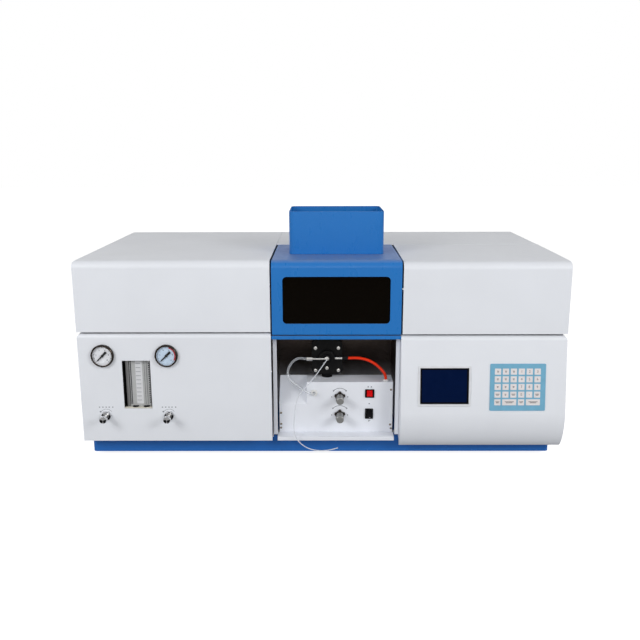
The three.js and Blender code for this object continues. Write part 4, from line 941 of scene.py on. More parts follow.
def make_control_panel():
    box = span("control_panel")
    liner = span("bay_liner")
    deck = liner.z0
    corner = (-(SEAM - deck - CHIN_RISE) * math.tan(LEAN), deck + CHIN_RISE)
    tip = (corner[0] + CHIN_RUN, deck - CHIN_FALL)
    heel = (tip[0] + CHIN_FALL * HEEL_RUN / CHIN_RUN, deck)
    side = [(0, SEAM), corner, tip, heel, (box.y1, deck), (box.y1, SEAM)]
    piece = control_hull(box, side, 0.0)
    combine(piece, control_hull(box, inset_corners(side, [*[WALL] * 4, -OVERRUN, WALL]), WALL))
    cut(
        piece,
        block(
            (box.x0 - OVERRUN, box.x1 - SHOULDER_FLANGE),
            (SHOULDER_FLANGE, box.y1 + OVERRUN),
            (SEAM - OVERRUN, SEAM + OVERRUN),
        ),
        block(
            (box.x0 - OVERRUN, box.x1 - WALL),
            (DECK_OPENING, box.y1 + OVERRUN),
            (deck - OVERRUN, deck + OVERRUN),
        ),
        block(
            (box.x0 - OVERRUN, liner.x1 + SEAT),
            (liner.y0 - SEAT, box.y1 + OVERRUN),
            (deck - OVERRUN, SEAM + OVERRUN),
        ),
        leaned(block(grown(SCREEN.xs, 1.7), (-OVERRUN, OVERRUN), grown(SCREEN.zs, 1.7))),
    )
    fit(piece, "control_panel_shell", "white_paint", nodes=["control_panel"])


# Screen and keypad, made upright at the seam and then leaned

Window = namedtuple("Window", "xs zs")
SCREEN = Window((205.2, 306.9), (SEAM - 144.5, SEAM - 68))
KEYPAD = Window((350.4, 466.2), (SEAM - 158.3, SEAM - 58.7))
KEY = Vector((12.9, 12.9))
KEY_PITCH = Vector((16.5, 16.2))
KEY_MARGIN = Vector((9.6, 10.1))
# Each key: column, row, columns that it spans, and its mark
KEYS = [
    *[(3 + i % 3, i // 3, 1, str(i + 1)) for i in range(9)],
    *[(i % 3, i // 3, 1, "-") for i in range(9)],
    *[(0, 3, 1, "="), (1, 3, 1, "-"), (2, 3, 1, "="), (3, 3, 1, "0"), (4, 3, 1, "."), (5, 3, 1, "=")],
    *[(0, 4, 1, "="), (1, 4, 2, "=="), (3, 4, 1, "="), (4, 4, 2, "==")],
]


def lettering(text, size, thick=0.12):
    """A numeral or a plain mark as a thin solid at the origin, facing up."""
    settle()
    bpy.ops.object.text_add(location=(0, 0, 0))
    piece = bpy.context.object
    piece.data.body = text
    piece.data.size = size * MM
    piece.data.extrude = thick / 2 * MM
    piece.data.resolution_u = 3
    piece.data.align_x = "CENTER"
    piece.data.align_y = "CENTER"
    take(piece)
    bpy.ops.object.convert(target="MESH")
    return bpy.context.object


def dash(x, y, z, width, height, thick=0.15):
    """A printed mark on a front at y."""
    return block((x - width / 2, x + width / 2), (y - thick, y), (z - height / 2, z + height / 2))


def make_screen():
    front, lip = -1.6, 4.6
    piece = rounded(grown(SCREEN.xs, lip), (front, -SEAT), grown(SCREEN.zs, lip), 2.0, running("y"))
    round_edges(piece, 1.0, lambda points: all(abs(point.y - front) < TOUCH for point in points), 3)
    combine(piece, block(grown(SCREEN.xs, 1.4), (-1.2, 8), grown(SCREEN.zs, 1.4)), "UNION")
    cut(piece, block(SCREEN.xs, (front - OVERRUN, 8 + OVERRUN), SCREEN.zs))
    fit(leaned(piece), "screen_surround", "bezel_white", nodes=["screen_bezel"], edge=0.5)
    pane = rounded(grown(SCREEN.xs, -SEAT), (1.2, 4.2), grown(SCREEN.zs, -SEAT), 0.8, running("y"))
    fit(leaned(pane), "screen_pane", "screen_glass", nodes=["screen"], edge=0.2)
    # A black border on the face of the pane.
    border = block(grown(SCREEN.xs, -SEAT), (1.0, 1.3), grown(SCREEN.zs, -SEAT))
    cut(border, rounded(grown(SCREEN.xs, -4.0), (0, 2.2), grown(SCREEN.zs, -4.0), 1.5, running("y")))
    fit(leaned(border), "screen_border", "border_black", edge=0.05)


def make_keypad():
    piece = rounded(KEYPAD.xs, (-1.5, -SEAT), KEYPAD.zs, 2.5, running("y"))
    fit(leaned(piece), "keypad_membrane", "keypad_blue", nodes=["membrane_keypad"], edge=0.3)
    marks = []
    keys = {}
    for columns in (1, 2):
        width = KEY.x + (columns - 1) * KEY_PITCH.x
        key = rounded((0, width), (-2.0, -1.4), (-KEY.y, 0), 0.8, running("y"), 3)
        keys[columns] = soften(key, 0.15)
    for column, row, columns, mark in KEYS:
        x = KEYPAD.xs[0] + KEY_MARGIN.x + column * KEY_PITCH.x
        z = KEYPAD.zs[1] - KEY_MARGIN.y - row * KEY_PITCH.y
        width = KEY.x + (columns - 1) * KEY_PITCH.x
        key = moved(copied(keys[columns]), Matrix.Translation(Vector((x, 0, z)) * MM))
        fit(leaned(key), f"key_{row + 1}_{column + 1}", "key_grey", edge=0)
        place = (x + width / 2, -2.0, z - KEY.y / 2)
        if mark.isdigit():
            marks.append(stand(lettering(mark, 7.4), FORWARD, place[0], place[1], place[2]))
        elif mark == ".":
            marks.append(dash(*place, 1.3, 1.3))
        else:
            run = {"-": 4.0, "=": 8.0, "==": 19.0}[mark]
            marks.append(dash(place[0], place[1], place[2] + 1.1, run, 1.2))
            marks.append(dash(place[0], place[1], place[2] - 1.1, run * 0.7, 1.2))
    for key in keys.values():
        bpy.data.objects.remove(key)
    fit(leaned(joined(marks)), "keypad_marks", "key_ink", edge=0)


# Gauges

GAUGE_SWEEP = (225.0, -45.0)  # anticlockwise from the right, seen from the front
GAUGE_STEPS = 50
DIAL_PRINT = 2.56 * MM  # the middle of the print on a dial
GAUGE_CASE = [
    (0, -48), (6, -48), (6, -34), (19.5, -34), (20.5, -33), (20.5, 0.3), (23.6, 0.3), (24.1, 0.8),
    (24.1, 4.2), (23.9, 5.4), (23.3, 6.3), (22.5, 6.9), (21.7, 7), (20.9, 6.85), (20.4, 6.6),
    (20.3, 6.42), (21.6, 6.42), (21.6, 2.2), (0, 2.2),
]
GAUGE_HAND = [
    (-12.2, -2.0), (-11.4, -2.6), (-1.5, -1.9), (15.8, -0.9), (16.2, 0), (15.8, 0.9), (-1.5, 1.9),
    (-11.4, 2.6), (-12.2, 2.0),
]


def round_mark(inner, outer, start, sweep, low=0.0, high=0.12):
    """A printed arc about z at the origin."""
    return ring(inner, outer, low, high, sides=max(4, round(abs(sweep) / 6)), start=start, sweep=sweep)


def dial_print():
    """Ticks and numerals, face up at the origin."""
    print_pieces = []
    for step in range(GAUGE_STEPS + 1):
        angle = GAUGE_SWEEP[0] + (GAUGE_SWEEP[1] - GAUGE_SWEEP[0]) * step / GAUGE_STEPS
        turn = Matrix.Rotation(math.radians(angle), 4, "Z")
        inner, half = (16.6, 0.26) if step % 5 == 0 else (18.1, 0.12)
        outer = 19.2
        place = Vector(((inner + outer) / 2 * MM, 0, DIAL_PRINT))
        tick = cube(place, ((outer - inner) * MM, 2 * half * MM, 0.12 * MM))
        print_pieces.append(moved(tick, turn))
        if step % 10 == 0:
            shift = Matrix.Translation(turn @ Vector((13.2 * MM, 0, DIAL_PRINT)))
            print_pieces.append(moved(lettering(str(step // 5), 4.2), shift))
    return joined(print_pieces)


def make_gauge(name, face, has_arc):
    node = f"{name}_gauge_case"
    here = (middle(node).x, 0, middle(node).z)
    lathe(f"{name}_gauge_body", "chrome_painted_dark_reflection", GAUGE_CASE, 72, FORWARD, here, nodes=[node], angle=25)
    dial = turned([(0, 2.2), (21.4, 2.2), (21.4, 2.5), (0, 2.5)], sides=72)
    fit(stand(dial, FORWARD, *here), f"{name}_dial", face, edge=0.05)
    fit(stand(dial_print(), FORWARD, *here), f"{name}_dial_marks", "ink", edge=0)
    if has_arc:
        arc = round_mark(16.8, 19.9, -32, 104, 2.5, 2.62)
        fit(stand(arc, FORWARD, *here), f"{name}_dial_arc", "red_ink", edge=0)
    hub = turned([(0, 2.6), (2.8, 2.6), (2.8, 4.8), (2.4, 5.0), (0, 5.0)], sides=32)
    hand = joined([plate(GAUGE_HAND, 4.2, 4.9), hub])
    hand = moved(hand, Matrix.Rotation(math.radians(GAUGE_SWEEP[0]), 4, "Z"))
    hand = stand(hand, FORWARD, *here)
    fit(hand, f"{name}_hand", "needle_black", f"{name}_needle", [f"{name}_gauge_needle"], edge=0.08)
    glass_disc = [(0, 5.4), (21.2, 5.4), (21.2, 6.3), (20.9, 6.4), (0, 6.4)]
    nodes = [f"{name}_gauge_glass"]
    lathe(f"{name}_gauge_lens", "clear_glass", glass_disc, 72, FORWARD, here, nodes=nodes)


# Flowmeter behind its window

# Dark lines down the face of the clear block: place from its left side and width
FLOW_LINES = ((0.9, 1.0), (3.8, 2.0), (32.6, 0.7), (37.2, 0.7))
FLOAT_DROP = [
    (0, 0), (0.9, 0.2), (1.8, 1.6), (2.6, 3.6), (2.8, 4.4), (2.8, 6.6), (2.5, 7.4), (1.8, 8), (0, 8),
]
FLOAT_SEAL = [(0, 0), (6.2, 0), (6.6, 0.3), (6.6, 1.0), (6.2, 1.3), (0, 1.3)]
SEAL_SHIFT = {"air": 0, "fuel": 3}


def make_flowmeter():
    house = span("flowmeter_housing")
    body = span("flowmeter_block")
    xs, ys, zs = (body.x0, body.x1), (body.y0, body.y1), (body.z0, body.z1)
    window = Window(grown((house.x0, house.x1), -LIP), grown((house.z0, house.z1), -LIP))
    bottom = window.zs[0]
    dress("flowmeter_housing", "flow_case", "black_plastic", edge=0.3)
    card = rounded((xs[0] - 3, xs[1] + 2), (ys[1] + 1.2, ys[1] + 3.4), zs, 1, running("y"))
    fit(card, "flow_card", "flow_backing", edge=0.2)
    rail = rounded((window.xs[0] + 3, xs[0] - SEAT), ys, zs, 1.2, running("z"))
    fit(rail, "flow_rail", "flow_grey", edge=0.2)
    sill = rounded(grown(window.xs, -0.4), (1.2, 11), (bottom + 0.2, bottom + 1.8), 0.7, running("x"))
    fit(sill, "flow_sill", "cream", edge=0.2)
    column = rounded(xs, ys, zs, 1.2, running("z"), 4)
    for name in GASES:
        node = f"{name}_flow_float"
        foot = span(node).z0 - SEAT
        top = zs[1] - foot + OVERRUN
        hole = turned([(0, 0), (3.4, 0), (4.2, top), (0, top)], 32)
        cut(column, stand(hole, UP, middle(node).x, (ys[0] + ys[1]) / 2, foot))
    fit(column, "flow_column", "clear_acrylic", nodes=["flowmeter_block"], edge=0.3)
    for name in GASES:
        node = f"{name}_flow_float"
        place = middle(node)
        foot = (place.x, place.y, span(node).z0)
        lathe(f"{name}_float_drop", "needle_black", FLOAT_DROP, 32, UP, foot, f"{name}_float", [node])
        foot = (place.x + SEAL_SHIFT[name], 9.4, bottom + 2.0)
        lathe(f"{name}_seal", "black_rubber", FLOAT_SEAL, 40, UP, foot)
    scale = block((xs[0] + 13.6, xs[0] + 28), (ys[0] - 0.5, ys[0] - 0.1), (zs[0] + 7, zs[1]))
    fit(scale, "flow_plate", "flow_backing", edge=0)
    marks = [dash(xs[0] + 19.4, ys[0] - 0.5, zs[0] + 15 + step * 9, 10, 1.1) for step in range(10)]
    fit(joined(marks), "flow_scale", "grey_ink", edge=0)
    height = zs[1] - zs[0] - 6
    lines = [dash(xs[0] + dx, ys[0], zs[1] - height / 2, width, height) for dx, width in FLOW_LINES]
    lines += [dash(xs[1] - 1.8, ys[0], zs[0] + 10 + step * 4.8, 2.6, 2.6) for step in range(19)]
    fit(joined(lines), "flow_lines", "ink", edge=0)


# Needle valves and the manifold that they sit in

VALVE_GRIP = [
    (0, 21.6), (6.4, 21.6), (7.3, 22), (7.6, 22.8), (7.6, 29.6), (7.4, 30.1), (7.2, 30.2), (0, 30.2),
]
VALVE_NECK = [(0, -12), (3, -12), (3, 5.3), (3.8, 5.3), (3.8, 20.8), (3.2, 21.6), (0, 21.6)]
VALVE_BUSH = [(3.5, -14.3), (5, -14.3), (5, 4.6), (4.6, 5), (3.5, 5), (3.5, -14.3)]
VALVE_MARKS = (-2.1, -1.05, 0, 0.95, 2.1)  # in steps of the row above each knob
# Arcs of painted shade on the nut's face:
NUT_PAINTED_SHADE = ((150, 58), (-62, 76))  # start and sweep, in degrees


def on_circle(angle, radius):
    turn = math.radians(angle)
    return radius * math.cos(turn), radius * math.sin(turn)


def valve_nut():
    nut = prism(10.9, 0.3, 5.0, 6, 30)
    combine(nut, turned([(0, -2), (13.2, -2), (9.4, 5.4), (0, 5.4)], 48), "INTERSECT")
    return cut(nut, turned([(0, -5), (5.1, -5), (5.1, 8), (0, 8)], 40))


def valve_grip():
    grip = turned(VALVE_GRIP, 48)
    groove = turned([(0, -1), (2.0, -1), (2.0, 40), (0, 40)], 20)
    grooves = []
    for i in range(6):
        shift = Vector((*on_circle(i * 60 + 30, 8.6), 15)) * MM
        grooves.append(moved(copied(groove), Matrix.Translation(shift)))
    bpy.data.objects.remove(groove)
    return cut(grip, joined(grooves))


def make_valves():
    box = span("gas_manifold")
    bar = rounded((box.x0, box.x1), (14, box.y1), (box.z0, box.z1), 1.6, running("x"), 4)
    fit(bar, "manifold_bar", "zinc_plate", nodes=["gas_manifold"], edge=0.5)
    for name in GASES:
        node, body = f"{name}_valve_knob", f"{name}_valve"
        place = middle(node)
        here = (place.x, 0, place.z)
        marks = [dash(place.x + step * 6.7, 0, place.z + 18.4, 2.6, 2.2) for step in VALVE_MARKS]
        marks.append(stand(round_mark(13.5, 14.2, 38, 108), FORWARD, *here))
        marks.append(dash(place.x - 12.6, 0, place.z + 8.2, 3.2, 3.2))
        fit(joined(marks), f"{name}_valve_marks", "grey_ink", edge=0)
        lathe(f"{name}_valve_bush", "bright_steel", VALVE_BUSH, 40, FORWARD, here)
        fit(stand(valve_nut(), FORWARD, *here), f"{name}_valve_nut", "chrome", edge=0.2)
        grip = stand(valve_grip(), FORWARD, *here)
        fit(grip, f"{name}_valve_grip", "chrome", body, [node], edge=0.3, angle=25)
        # Two black arcs on the grip's end, a painted dark reflection.
        painted_reflection = joined([round_mark(1.4, 7.0, start, 86, 30.2, 31.0) for start in (172, 282)])
        fit(stand(painted_reflection, FORWARD, *here), f"{name}_valve_painted_reflection", "black_gloss_plastic", body, edge=0)
        lathe(f"{name}_valve_neck", "chrome", VALVE_NECK, 40, FORWARD, here, body)
        # Black arcs on the nut's face, painted shade.
        painted_shade = joined([round_mark(5.5, 9.6, start, sweep, 4.9, 5.6) for start, sweep in NUT_PAINTED_SHADE])
        fit(stand(painted_shade, FORWARD, *here), f"{name}_valve_painted_shade", "black_gloss_plastic", edge=0)


# Burner box, its knobs, switches and fittings

BOX_FRONT = 30  # how far back the front of the burner box lies
BOX_SCREWS = [(148.5, 151.4), (147.8, 71.9), (149.6, 63.4), (-88.6, 98.9), (-88.6, 73.6), (-89, 65)]
BOX_DOTS = ((-3.3, 157.8), (3.4, 157.6), (-0.6, 119.8), (-1.2, 80.3))  # x from the ignition rocker, z
KNOB_ARCS = {"height_knob": 18.8, "traverse_knob": 20.6}
KNOB_GRIP = [(0, 6.4), (7.5, 6.4), (8, 7), (8, 31.6), (7.7, 32.5), (6.9, 33), (0, 33)]
KNOB_SHAFT = [(0, -15), (2.6, -15), (3, -14.6), (3, 0.3), (0, 0.3)]
STAR_LOBE = ((-22, 9.6), (-9, 12.2), (9, 12.2), (22, 9.6))  # degrees from the lobe's middle and radius
SWITCH_INSET = {"ignition": 4.0, "power": 2.8}
AIR_BUSH = [
    (0, -8), (5, -8), (5, 0.3), (6.9, 0.3), (7.4, 0.8), (7.2, 2.2), (6.4, 2.9), (4.6, 3), (3.1, 2.6),
    (2.9, 2.0), (2.9, -1), (0, -1),
]
FUEL_GROMMET = [
    (0, -8), (5, -8), (5, 0.3), (5.9, 0.3), (6.3, 0.8), (6.3, 3.0), (5.9, 3.8), (5.0, 4), (0, 4),
]


def place_screws(name, radius, height, places, way, finish, body="root"):
    """Cross-head screws, modelled once and copied."""
    pattern = turned(
        [
            (0, -1), (radius * 0.5, -1), (radius * 0.5, 0), (radius, 0), (radius, height * 0.4),
            (radius * 0.86, height * 0.8), (radius * 0.5, height), (0, height),
        ],
        32,
    )
    slot = Vector((radius * 1.2, radius * 0.26, height * 0.9)) * MM
    for spin in (0, math.pi / 2):
        combine(pattern, cube((0, 0, height * MM), slot, (0, 0, spin)))
    smooth(pattern, 40)
    for i, place in enumerate(places):
        fit(stand(copied(pattern), way, *place), f"{name}_{i + 1}", finish, body, edge=0)
    bpy.data.objects.remove(pattern)


def make_burner_box():
    dress("burner_box", "burner_cabinet", "bay_white", edge=0.9, segments=3)
    dress("front_ledge", "front_step", "bay_white", edge=0.5)
    dress("bay_frame", "bay_posts", "bay_white", edge=0.4)
    dress("hood_crossbar", "crossbar_channel", "blue_paint", edge=0.5)
    places = [(x, BOX_FRONT, z) for x, z in BOX_SCREWS]
    place_screws("box_screw", 2.3, 1.4, places, FORWARD, "screw_bronze")
    marks = []
    for node, radius in KNOB_ARCS.items():
        place = middle(node)
        here = (place.x, BOX_FRONT, place.z)
        lathe(f"{node}_grip", "satin_aluminium", KNOB_GRIP, 56, FORWARD, here, node, [node], 30)
        lathe(f"{node}_shaft", "bright_steel", KNOB_SHAFT, 24, FORWARD, here, node)
        star = [on_circle(90 + 72 * i + turn, reach) for i in range(5) for turn, reach in STAR_LOBE]
        collar = stand(plate(star, 0.3, 5.4), FORWARD, *here)
        fit(collar, f"{node}_collar", "chrome_painted_dark_reflection", node, edge=0.5)
        marks.append(stand(round_mark(radius - 0.6, radius + 0.6, 44, 92), FORWARD, *here))
        for end, spin in ((44, 14), (136, 46)):
            x, z = on_circle(end, radius)
            arrow = prism(2.5, 0, 0.15, 3, spin)
            marks.append(stand(arrow, FORWARD, place.x + x, BOX_FRONT, place.z + z))
        for side in (-1, 1):
            marks.append(dash(place.x + side * 17.2, BOX_FRONT, place.z - 0.8, 1.6, 2.8))
    rocker = middle("ignition_switch_frame")
    marks += [dash(rocker.x + x, BOX_FRONT, z, 2.5, 2.5) for x, z in BOX_DOTS]
    fit(joined(marks), "box_marks", "grey_ink", edge=0)


def make_switch(name, rocker_finish):
    frame_box = span(f"{name}_switch_frame")
    body = f"{name}_rocker"
    rock = span(body)
    xs, zs = (frame_box.x0, frame_box.x1), (frame_box.z0, frame_box.z1)
    case = rounded(xs, (27.5, 29.7), zs, 1.2, running("y"), 4)
    combine(case, block(grown(xs, -1.7), (29, 49), grown(zs, -0.85)), "UNION")
    cut(case, block(grown(xs, -2.4), (20, 46), grown((rock.z0, rock.z1), 0.9)))
    fit(case, f"{name}_switch_body", "black_plastic", nodes=[f"{name}_switch_frame"], edge=0.35)
    half = (rock.z1 - rock.z0) / 2 - 0.4
    z = (zs[0] + zs[1]) / 2
    key = slab(
        [(26.2, z - half), (33, z - half), (36, z), (33, z + half), (26.2, z + half), (27.5, z)],
        grown(xs, -SWITCH_INSET[name]),
    )
    round_edges(key, 22.0, where(y=27.5, z=z), 8)
    tipped(key, math.radians(-7), 33, z)
    fit(key, f"{name}_key", rocker_finish, body, [body], edge=0.3)
    if name == "power":
        x = (xs[0] + xs[1]) / 2
        marks = joined([dash(x, 0, z + 1.2, 2.4, 1.8), dash(x, 0, z - 4.4, 2.2, 1.2)])
        fit(marks, "power_marks", "grey_ink", body, edge=0)


def make_bay_fittings():
    bush, nodes = middle("air_tube_bush"), ["air_tube_bush"]
    here = (bush.x, BOX_FRONT, bush.z)
    lathe("air_bush", "white_plastic", AIR_BUSH, 48, FORWARD, here, nodes=nodes, angle=40)
    grommet, nodes = middle("fuel_hose_grommet"), ["fuel_hose_grommet"]
    here = (grommet.x, grommet.y, span("burner_box").z1)
    lathe("fuel_grommet", "white_plastic", FUEL_GROMMET, 48, UP, here, nodes=nodes, angle=40)


# Burner: mixing chamber, end cap, nebulizer, fittings and head

BURNER_X = 11.0
CAP_FRONT = 58.0
BOSS_Z = 215.8
CHAMBER_Z = 211.5
NEBULIZER = (BURNER_X, 57.7, BOSS_Z)
ARM = (BURNER_X, 45.5, BOSS_Z)
STEM = (BURNER_X, 51.5, BOSS_Z)
CAP_BOSS = [
    (9.9, -1.5), (17, -1.5), (17, 8.6), (16.5, 9.5), (15.6, 10), (14.4, 10), (14.1, 9.3), (13.2, 9.3),
    (12.9, 10), (11.2, 10), (10.9, 9.6), (9.9, 9.6), (9.9, -1.5),
]
NEBULIZER_DISC = [
    (0, 0), (9.6, 0), (9.6, 10.6), (9.0, 11.3), (7.4, 11.5), (7.1, 10.9), (6.1, 10.9), (5.8, 11.5),
    (0, 11.5),
]
NEBULIZER_NOSE = [
    (0, 11), (4.4, 11), (4.4, 12.2), (3.4, 12.6), (3.2, 13.6), (2.6, 14), (1.4, 14), (1.4, 12.6),
    (0, 12.6),
]
NEBULIZER_ARM = [(0, 0), (2.3, 0), (2.3, 24), (1.9, 31), (0, 31)]
NUT_ROUNDING = [(0, 30), (3.6, 30.6), (5.4, 32.4), (5.4, 42.6), (3.6, 44.2), (0, 44.8)]
FUEL_COLLAR = [
    (0, 32.6), (4.2, 32.6), (4.7, 33.2), (4.7, 44.6), (4.2, 45.3), (3.4, 45.3), (3.4, 41.3), (0, 41.3),
]


def end_cap():
    cap = span("chamber_end_cap")
    ys = (CAP_FRONT, CAP_FRONT + 14)
    flange = rounded((cap.x0, cap.x1), ys, (cap.z0, cap.z1), 13, running("y"), 12)
    boss = turned(CAP_BOSS, 64)
    cut(flange, bore(9.9, BURNER_X, BOSS_Z, CAP_FRONT - 3, CAP_FRONT + 1))
    soften(flange, 1.0, 3)
    return joined([flange, stand(boss, FORWARD, BURNER_X, CAP_FRONT, BOSS_Z)])


def make_burner():
    fit(end_cap(), "end_cap", "black_plastic", "burner", ["chamber_end_cap"], edge=0)
    corners = [(BURNER_X + a * 24.8, CAP_FRONT, CHAMBER_Z + b * 25.0) for a in (-1, 1) for b in (-1, 1)]
    place_screws("cap_screw", 4.3, 2.4, corners, FORWARD, "bright_steel", "burner")
    low = [(BURNER_X, CAP_FRONT, 191.6)]
    place_screws("drain_screw", 4.3, 2.4, low, FORWARD, "bright_steel", "burner")
    finish, nodes = "black_gloss_plastic", ["nebulizer"]
    lathe("nebulizer_body", finish, NEBULIZER_DISC, 56, FORWARD, NEBULIZER, "burner", nodes)
    lathe("nebulizer_nose", "bright_steel", NEBULIZER_NOSE, 40, FORWARD, NEBULIZER, "burner")
    lathe("nebulizer_arm", "bright_steel", NEBULIZER_ARM, 32, LEFTWARD, ARM, "burner")
    nut = prism(4.4, 31, 44, 6, 0)
    combine(nut, turned(NUT_ROUNDING, 40), "INTERSECT")
    cut(nut, turned([(0, 40), (2.9, 40), (2.9, 50), (0, 50)], 32))
    fit(stand(nut, LEFTWARD, *ARM), "nebulizer_nut", "bright_steel", "burner", edge=0.25)
    stem = stand(turned([(0, 17.3), (3.2, 17.3), (3.2, 32.7), (0, 32.7)], 32), RIGHTWARD, *STEM)
    fit(stem, "fuel_stem", "bright_steel", "burner", ["fuel_fitting"], edge=0.15)
    lathe("fuel_collar", "black_rubber", FUEL_COLLAR, 40, RIGHTWARD, STEM, "burner")
    dress("drain_spout", "drain_cup", "black_rubber", "burner", segments=3)
    dress("mixing_chamber", "chamber_barrel", "black_plastic", "burner", segments=3)
    dress("lift_post", "lift_column", "grey_casting", "burner")
    dress("burner_carriage", "carriage_casting", "grey_casting", "burner_slide")
    dress("burner_head", "slot_burner", "titanium", "burner", edge=0.7, segments=3)


# Inside and behind

LAMP_ENVELOPE = [
    (0, 0), (14.2, 0), (15, 0.8), (15, 29), (15.8, 31.4), (18, 33.4), (19, 35.4), (19, 128), (18, 130),
    (0, 130),
]
LAMP_BASE = [
    (18.4, 118), (19, 118), (19, 144.7), (16.4, 144.7), (16.4, 159.4), (15.8, 160), (0, 160),
    (0, 130.2), (18.4, 130.2), (18.4, 118),
]
LAMP_CATHODE = [(0, 60), (1.6, 60), (5, 62), (5, 86), (2, 88), (2, 129), (0, 129)]
INLET_PINS = ((-7, 0), (0, 3.4), (7, 0))


def make_lamp():
    node, body = "hollow_cathode_lamp", "lamp_carousel"
    here = (span(node).x0, middle(node).y, middle(node).z)
    lathe("lamp_envelope", "clear_glass", LAMP_ENVELOPE, 56, RIGHTWARD, here, body, [node])
    lathe("lamp_base", "black_gloss_plastic", LAMP_BASE, 48, RIGHTWARD, here, body)
    lathe("lamp_cathode", "bright_steel", LAMP_CATHODE, 32, RIGHTWARD, here, body)


def make_inside():
    rod = span("hinge_rod")
    run = rod.x1 - rod.x0
    pin = [(0, 0), (1, 0), (1.3, 0.4), (1.3, run - 0.4), (1, run), (0, run)]
    here = (rod.x0, middle("hinge_rod").y, middle("hinge_rod").z)
    lathe("hinge_pin", "zinc_plate", pin, 24, RIGHTWARD, here, nodes=["hinge_rod"])
    dress("monochromator", "monochromator_casting", "grey_casting", edge=1.5)
    dress("lamp_bracket", "turret_bracket", "zinc_plate", edge=0.6)
    dress("lamp_turret", "turret_wheel", "grey_casting", "lamp_carousel", edge=0.5)
    make_lamp()
    rear = span("rear_panel").y1
    places = [(x, rear, z) for x in (-495, -110, 175, 495) for z in (58, 268)]
    place_screws("rear_screw", 3.6, 2.0, places, BACKWARD, "bright_steel")
    inlet = middle("power_inlet")
    for i, (dx, dz) in enumerate(INLET_PINS):
        x, z = inlet.x + dx, inlet.z + dz
        pin = block((x - 1, x + 1), (499, 508), (z - 2, z + 2))
        fit(pin, f"inlet_pin_{i + 1}", "pin_brass", edge=0.35)


PLAIN_NODES = {
    "bay_liner": "stainless",
    "rear_panel": "bay_white",
    "power_inlet": "black_plastic",
}


def dress_nodes():
    """Finishes for the CAD nodes that stay in sight."""
    for node, finish in PLAIN_NODES.items():
        mesh = frame["nodes"][node].data
        mesh.materials.clear()
        mesh.materials.append(FINISHES[finish])


# Hood, its pane and the chimney

HOOD_FLANGE = 16.0
CHIMNEY_BEND = 11.0
CHIMNEY_WALL = 1.5
PANE_LAP = 5.5
PANE_BEND = 8.5


def chimney_bore(pipe, zs, segments):
    xs, ys = grown((pipe.x0, pipe.x1), -CHIMNEY_WALL), grown((pipe.y0, pipe.y1), -CHIMNEY_WALL)
    return rounded(xs, ys, zs, CHIMNEY_BEND - CHIMNEY_WALL, running("z"), segments)


def make_hood():
    box = span("hood")
    pane = span("hood_window")
    pipe = span("chimney")
    piece = cover(box, {"front": COVER_BEND, "left": 3.0, "right": 3.0}, ("rear", "bottom"))
    cut(
        piece,
        block(
            (box.x0 - OVERRUN, box.x1 + OVERRUN),
            (HOOD_FLANGE, box.y1 + OVERRUN),
            (box.z0 - OVERRUN, box.z1 - HOOD_FLANGE),
        ),
        rounded(
            (pane.x0 + PANE_LAP, pane.x1 - PANE_LAP),
            (-OVERRUN, OVERRUN + 2),
            (pane.z0 + PANE_LAP, pane.z1 - PANE_LAP),
            PANE_BEND,
            running("y"),
        ),
        chimney_bore(pipe, (box.z1 - HOOD_FLANGE, box.z1 + OVERRUN), 8),
    )
    fit(piece, "hood_shell", "blue_paint", "hood", ["hood"])
    piece = rounded((pane.x0, pane.x1), (pane.y0, pane.y1), (pane.z0, pane.z1), PANE_BEND, running("y"))
    fit(piece, "hood_pane", "smoked_pane", "hood", ["hood_window"], edge=0.5)
    xs, ys, zs = (pipe.x0, pipe.x1), (pipe.y0, pipe.y1), (pipe.z0, pipe.z1)
    piece = rounded(xs, ys, zs, CHIMNEY_BEND, running("z"), 12)
    cut(piece, chimney_bore(pipe, grown(zs, OVERRUN), 12))
    fit(piece, "chimney_tube", "blue_paint", "hood", ["chimney"], edge=0.45)


# Plinth and feet


def make_plinth():
    box = span("base_plinth")
    wall, bend, flange = 2.5, 8.0, 70.0

    def plan(inset, low, high):
        xs = (box.x0 + inset, box.x1 - inset)
        ys = (box.y0 + inset, box.y1 - inset)
        return rounded(xs, ys, (low, high), max(bend - inset, 0.5), running("z"))

    piece = plan(0, box.z0, box.z1)
    cut(
        piece,
        plan(wall, box.z0 + wall, box.z1 - wall),
        plan(flange, box.z0 - OVERRUN, box.z0 + OVERRUN),
    )
    fit(piece, "plinth_tray", "plinth_blue", nodes=["base_plinth"], edge=0.8)
    height = span("foot_front_left").z1
    profile = [(0, 0), (15, 0), (17.4, 0.8), (18.2, 2.4), (19.8, height - 1), (20, height), (0, height)]
    foot = turned(profile, 48)
    for row in ("front", "rear"):
        for side in ("left", "right"):
            node = f"foot_{row}_{side}"
            place = middle(node)
            pad = stand(copied(foot), UP, place.x, place.y, 0)
            fit(pad, f"{node}_pad", "black_rubber", nodes=[node], edge=0.3)
    bpy.data.objects.remove(foot)


make_plinth()
make_gas_panel()
make_control_panel()
make_screen()
make_keypad()
make_upper_covers()
make_hood()
make_gauge("air", "dial_white", False)
make_gauge("fuel", "dial_blue", True)
make_flowmeter()
make_valves()
make_burner_box()
make_switch("ignition", "red_plastic")
make_switch("power", "black_gloss_plastic")
make_bay_fittings()
make_burner()
make_inside()
dress_nodes()

# Stage and light

ROOM = 0.34  # strength of the room's light
LAMPS = {
    "key_left": ((-1.7, -1.9, 1.38), 0.95, 23.0),
    "key_right": ((1.8, -1.9, 1.38), 0.95, 24.0),
    "fill": ((0.0, -2.3, 0.85), 0.7, 3.6),
}


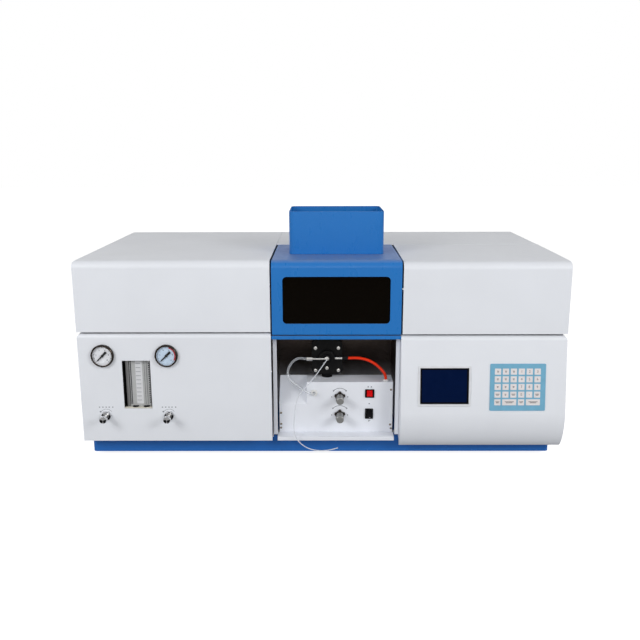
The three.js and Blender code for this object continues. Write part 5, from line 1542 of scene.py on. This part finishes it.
def make_stage():
    """A white floor that shows the shadow of the object."""
    settle()
    bpy.ops.mesh.primitive_plane_add(size=16, location=(0, 2.0, 0))
    floor = bpy.context.object
    floor.name = "floor"
    finish = Finish("floor", Roughness=0.9, Emission_Strength=1.0)
    finish.set("Base Color", (0.5, 0.5, 0.5))
    rays = finish.node("ShaderNodeLightPath", output="Is Camera Ray")
    glow = finish.mix(rays, (0, 0, 0), (0.88, 0.88, 0.88))
    finish.set("Emission Color", glow)
    floor.data.materials.append(finish.material)


def softbox(name, place, target, size, power):
    data = bpy.data.lights.new(name, "AREA")
    data.shape = "RECTANGLE"
    data.size, data.size_y = size
    data.energy = power
    lamp = bpy.data.objects.new(name, data)
    bpy.context.scene.collection.objects.link(lamp)
    lamp.location = place
    lamp.rotation_euler = (Vector(target) - Vector(place)).to_track_quat("-Z", "Y").to_euler()


def make_world():
    """White to the camera and in reflections, a dimmer white as the room's light."""
    world = bpy.data.worlds.new("studio")
    bpy.context.scene.world = world
    world.use_nodes = True
    tree = world.node_tree
    tree.nodes.clear()
    rays = tree.nodes.new("ShaderNodeLightPath")
    seen = rays.outputs["Is Camera Ray"]
    for ray in ("Is Glossy Ray", "Is Transmission Ray"):
        either = tree.nodes.new("ShaderNodeMath")
        either.operation = "MAXIMUM"
        tree.links.new(seen, either.inputs[0])
        tree.links.new(rays.outputs[ray], either.inputs[1])
        seen = either.outputs[0]
    choose = tree.nodes.new("ShaderNodeMixShader")
    tree.links.new(seen, choose.inputs[0])
    for socket, strength in ((1, ROOM), (2, 1.0)):
        light = tree.nodes.new("ShaderNodeBackground")
        light.inputs["Color"].default_value = (1, 1, 1, 1)
        light.inputs["Strength"].default_value = strength
        tree.links.new(light.outputs[0], choose.inputs[socket])
    output = tree.nodes.new("ShaderNodeOutputWorld")
    tree.links.new(choose.outputs[0], output.inputs["Surface"])


make_stage()
make_world()
for lamp_name, (place, size, power) in LAMPS.items():
    softbox(lamp_name, place, (0, 0, 0.2), (size, size), power)
bpy.context.scene.view_settings.view_transform = "Standard"
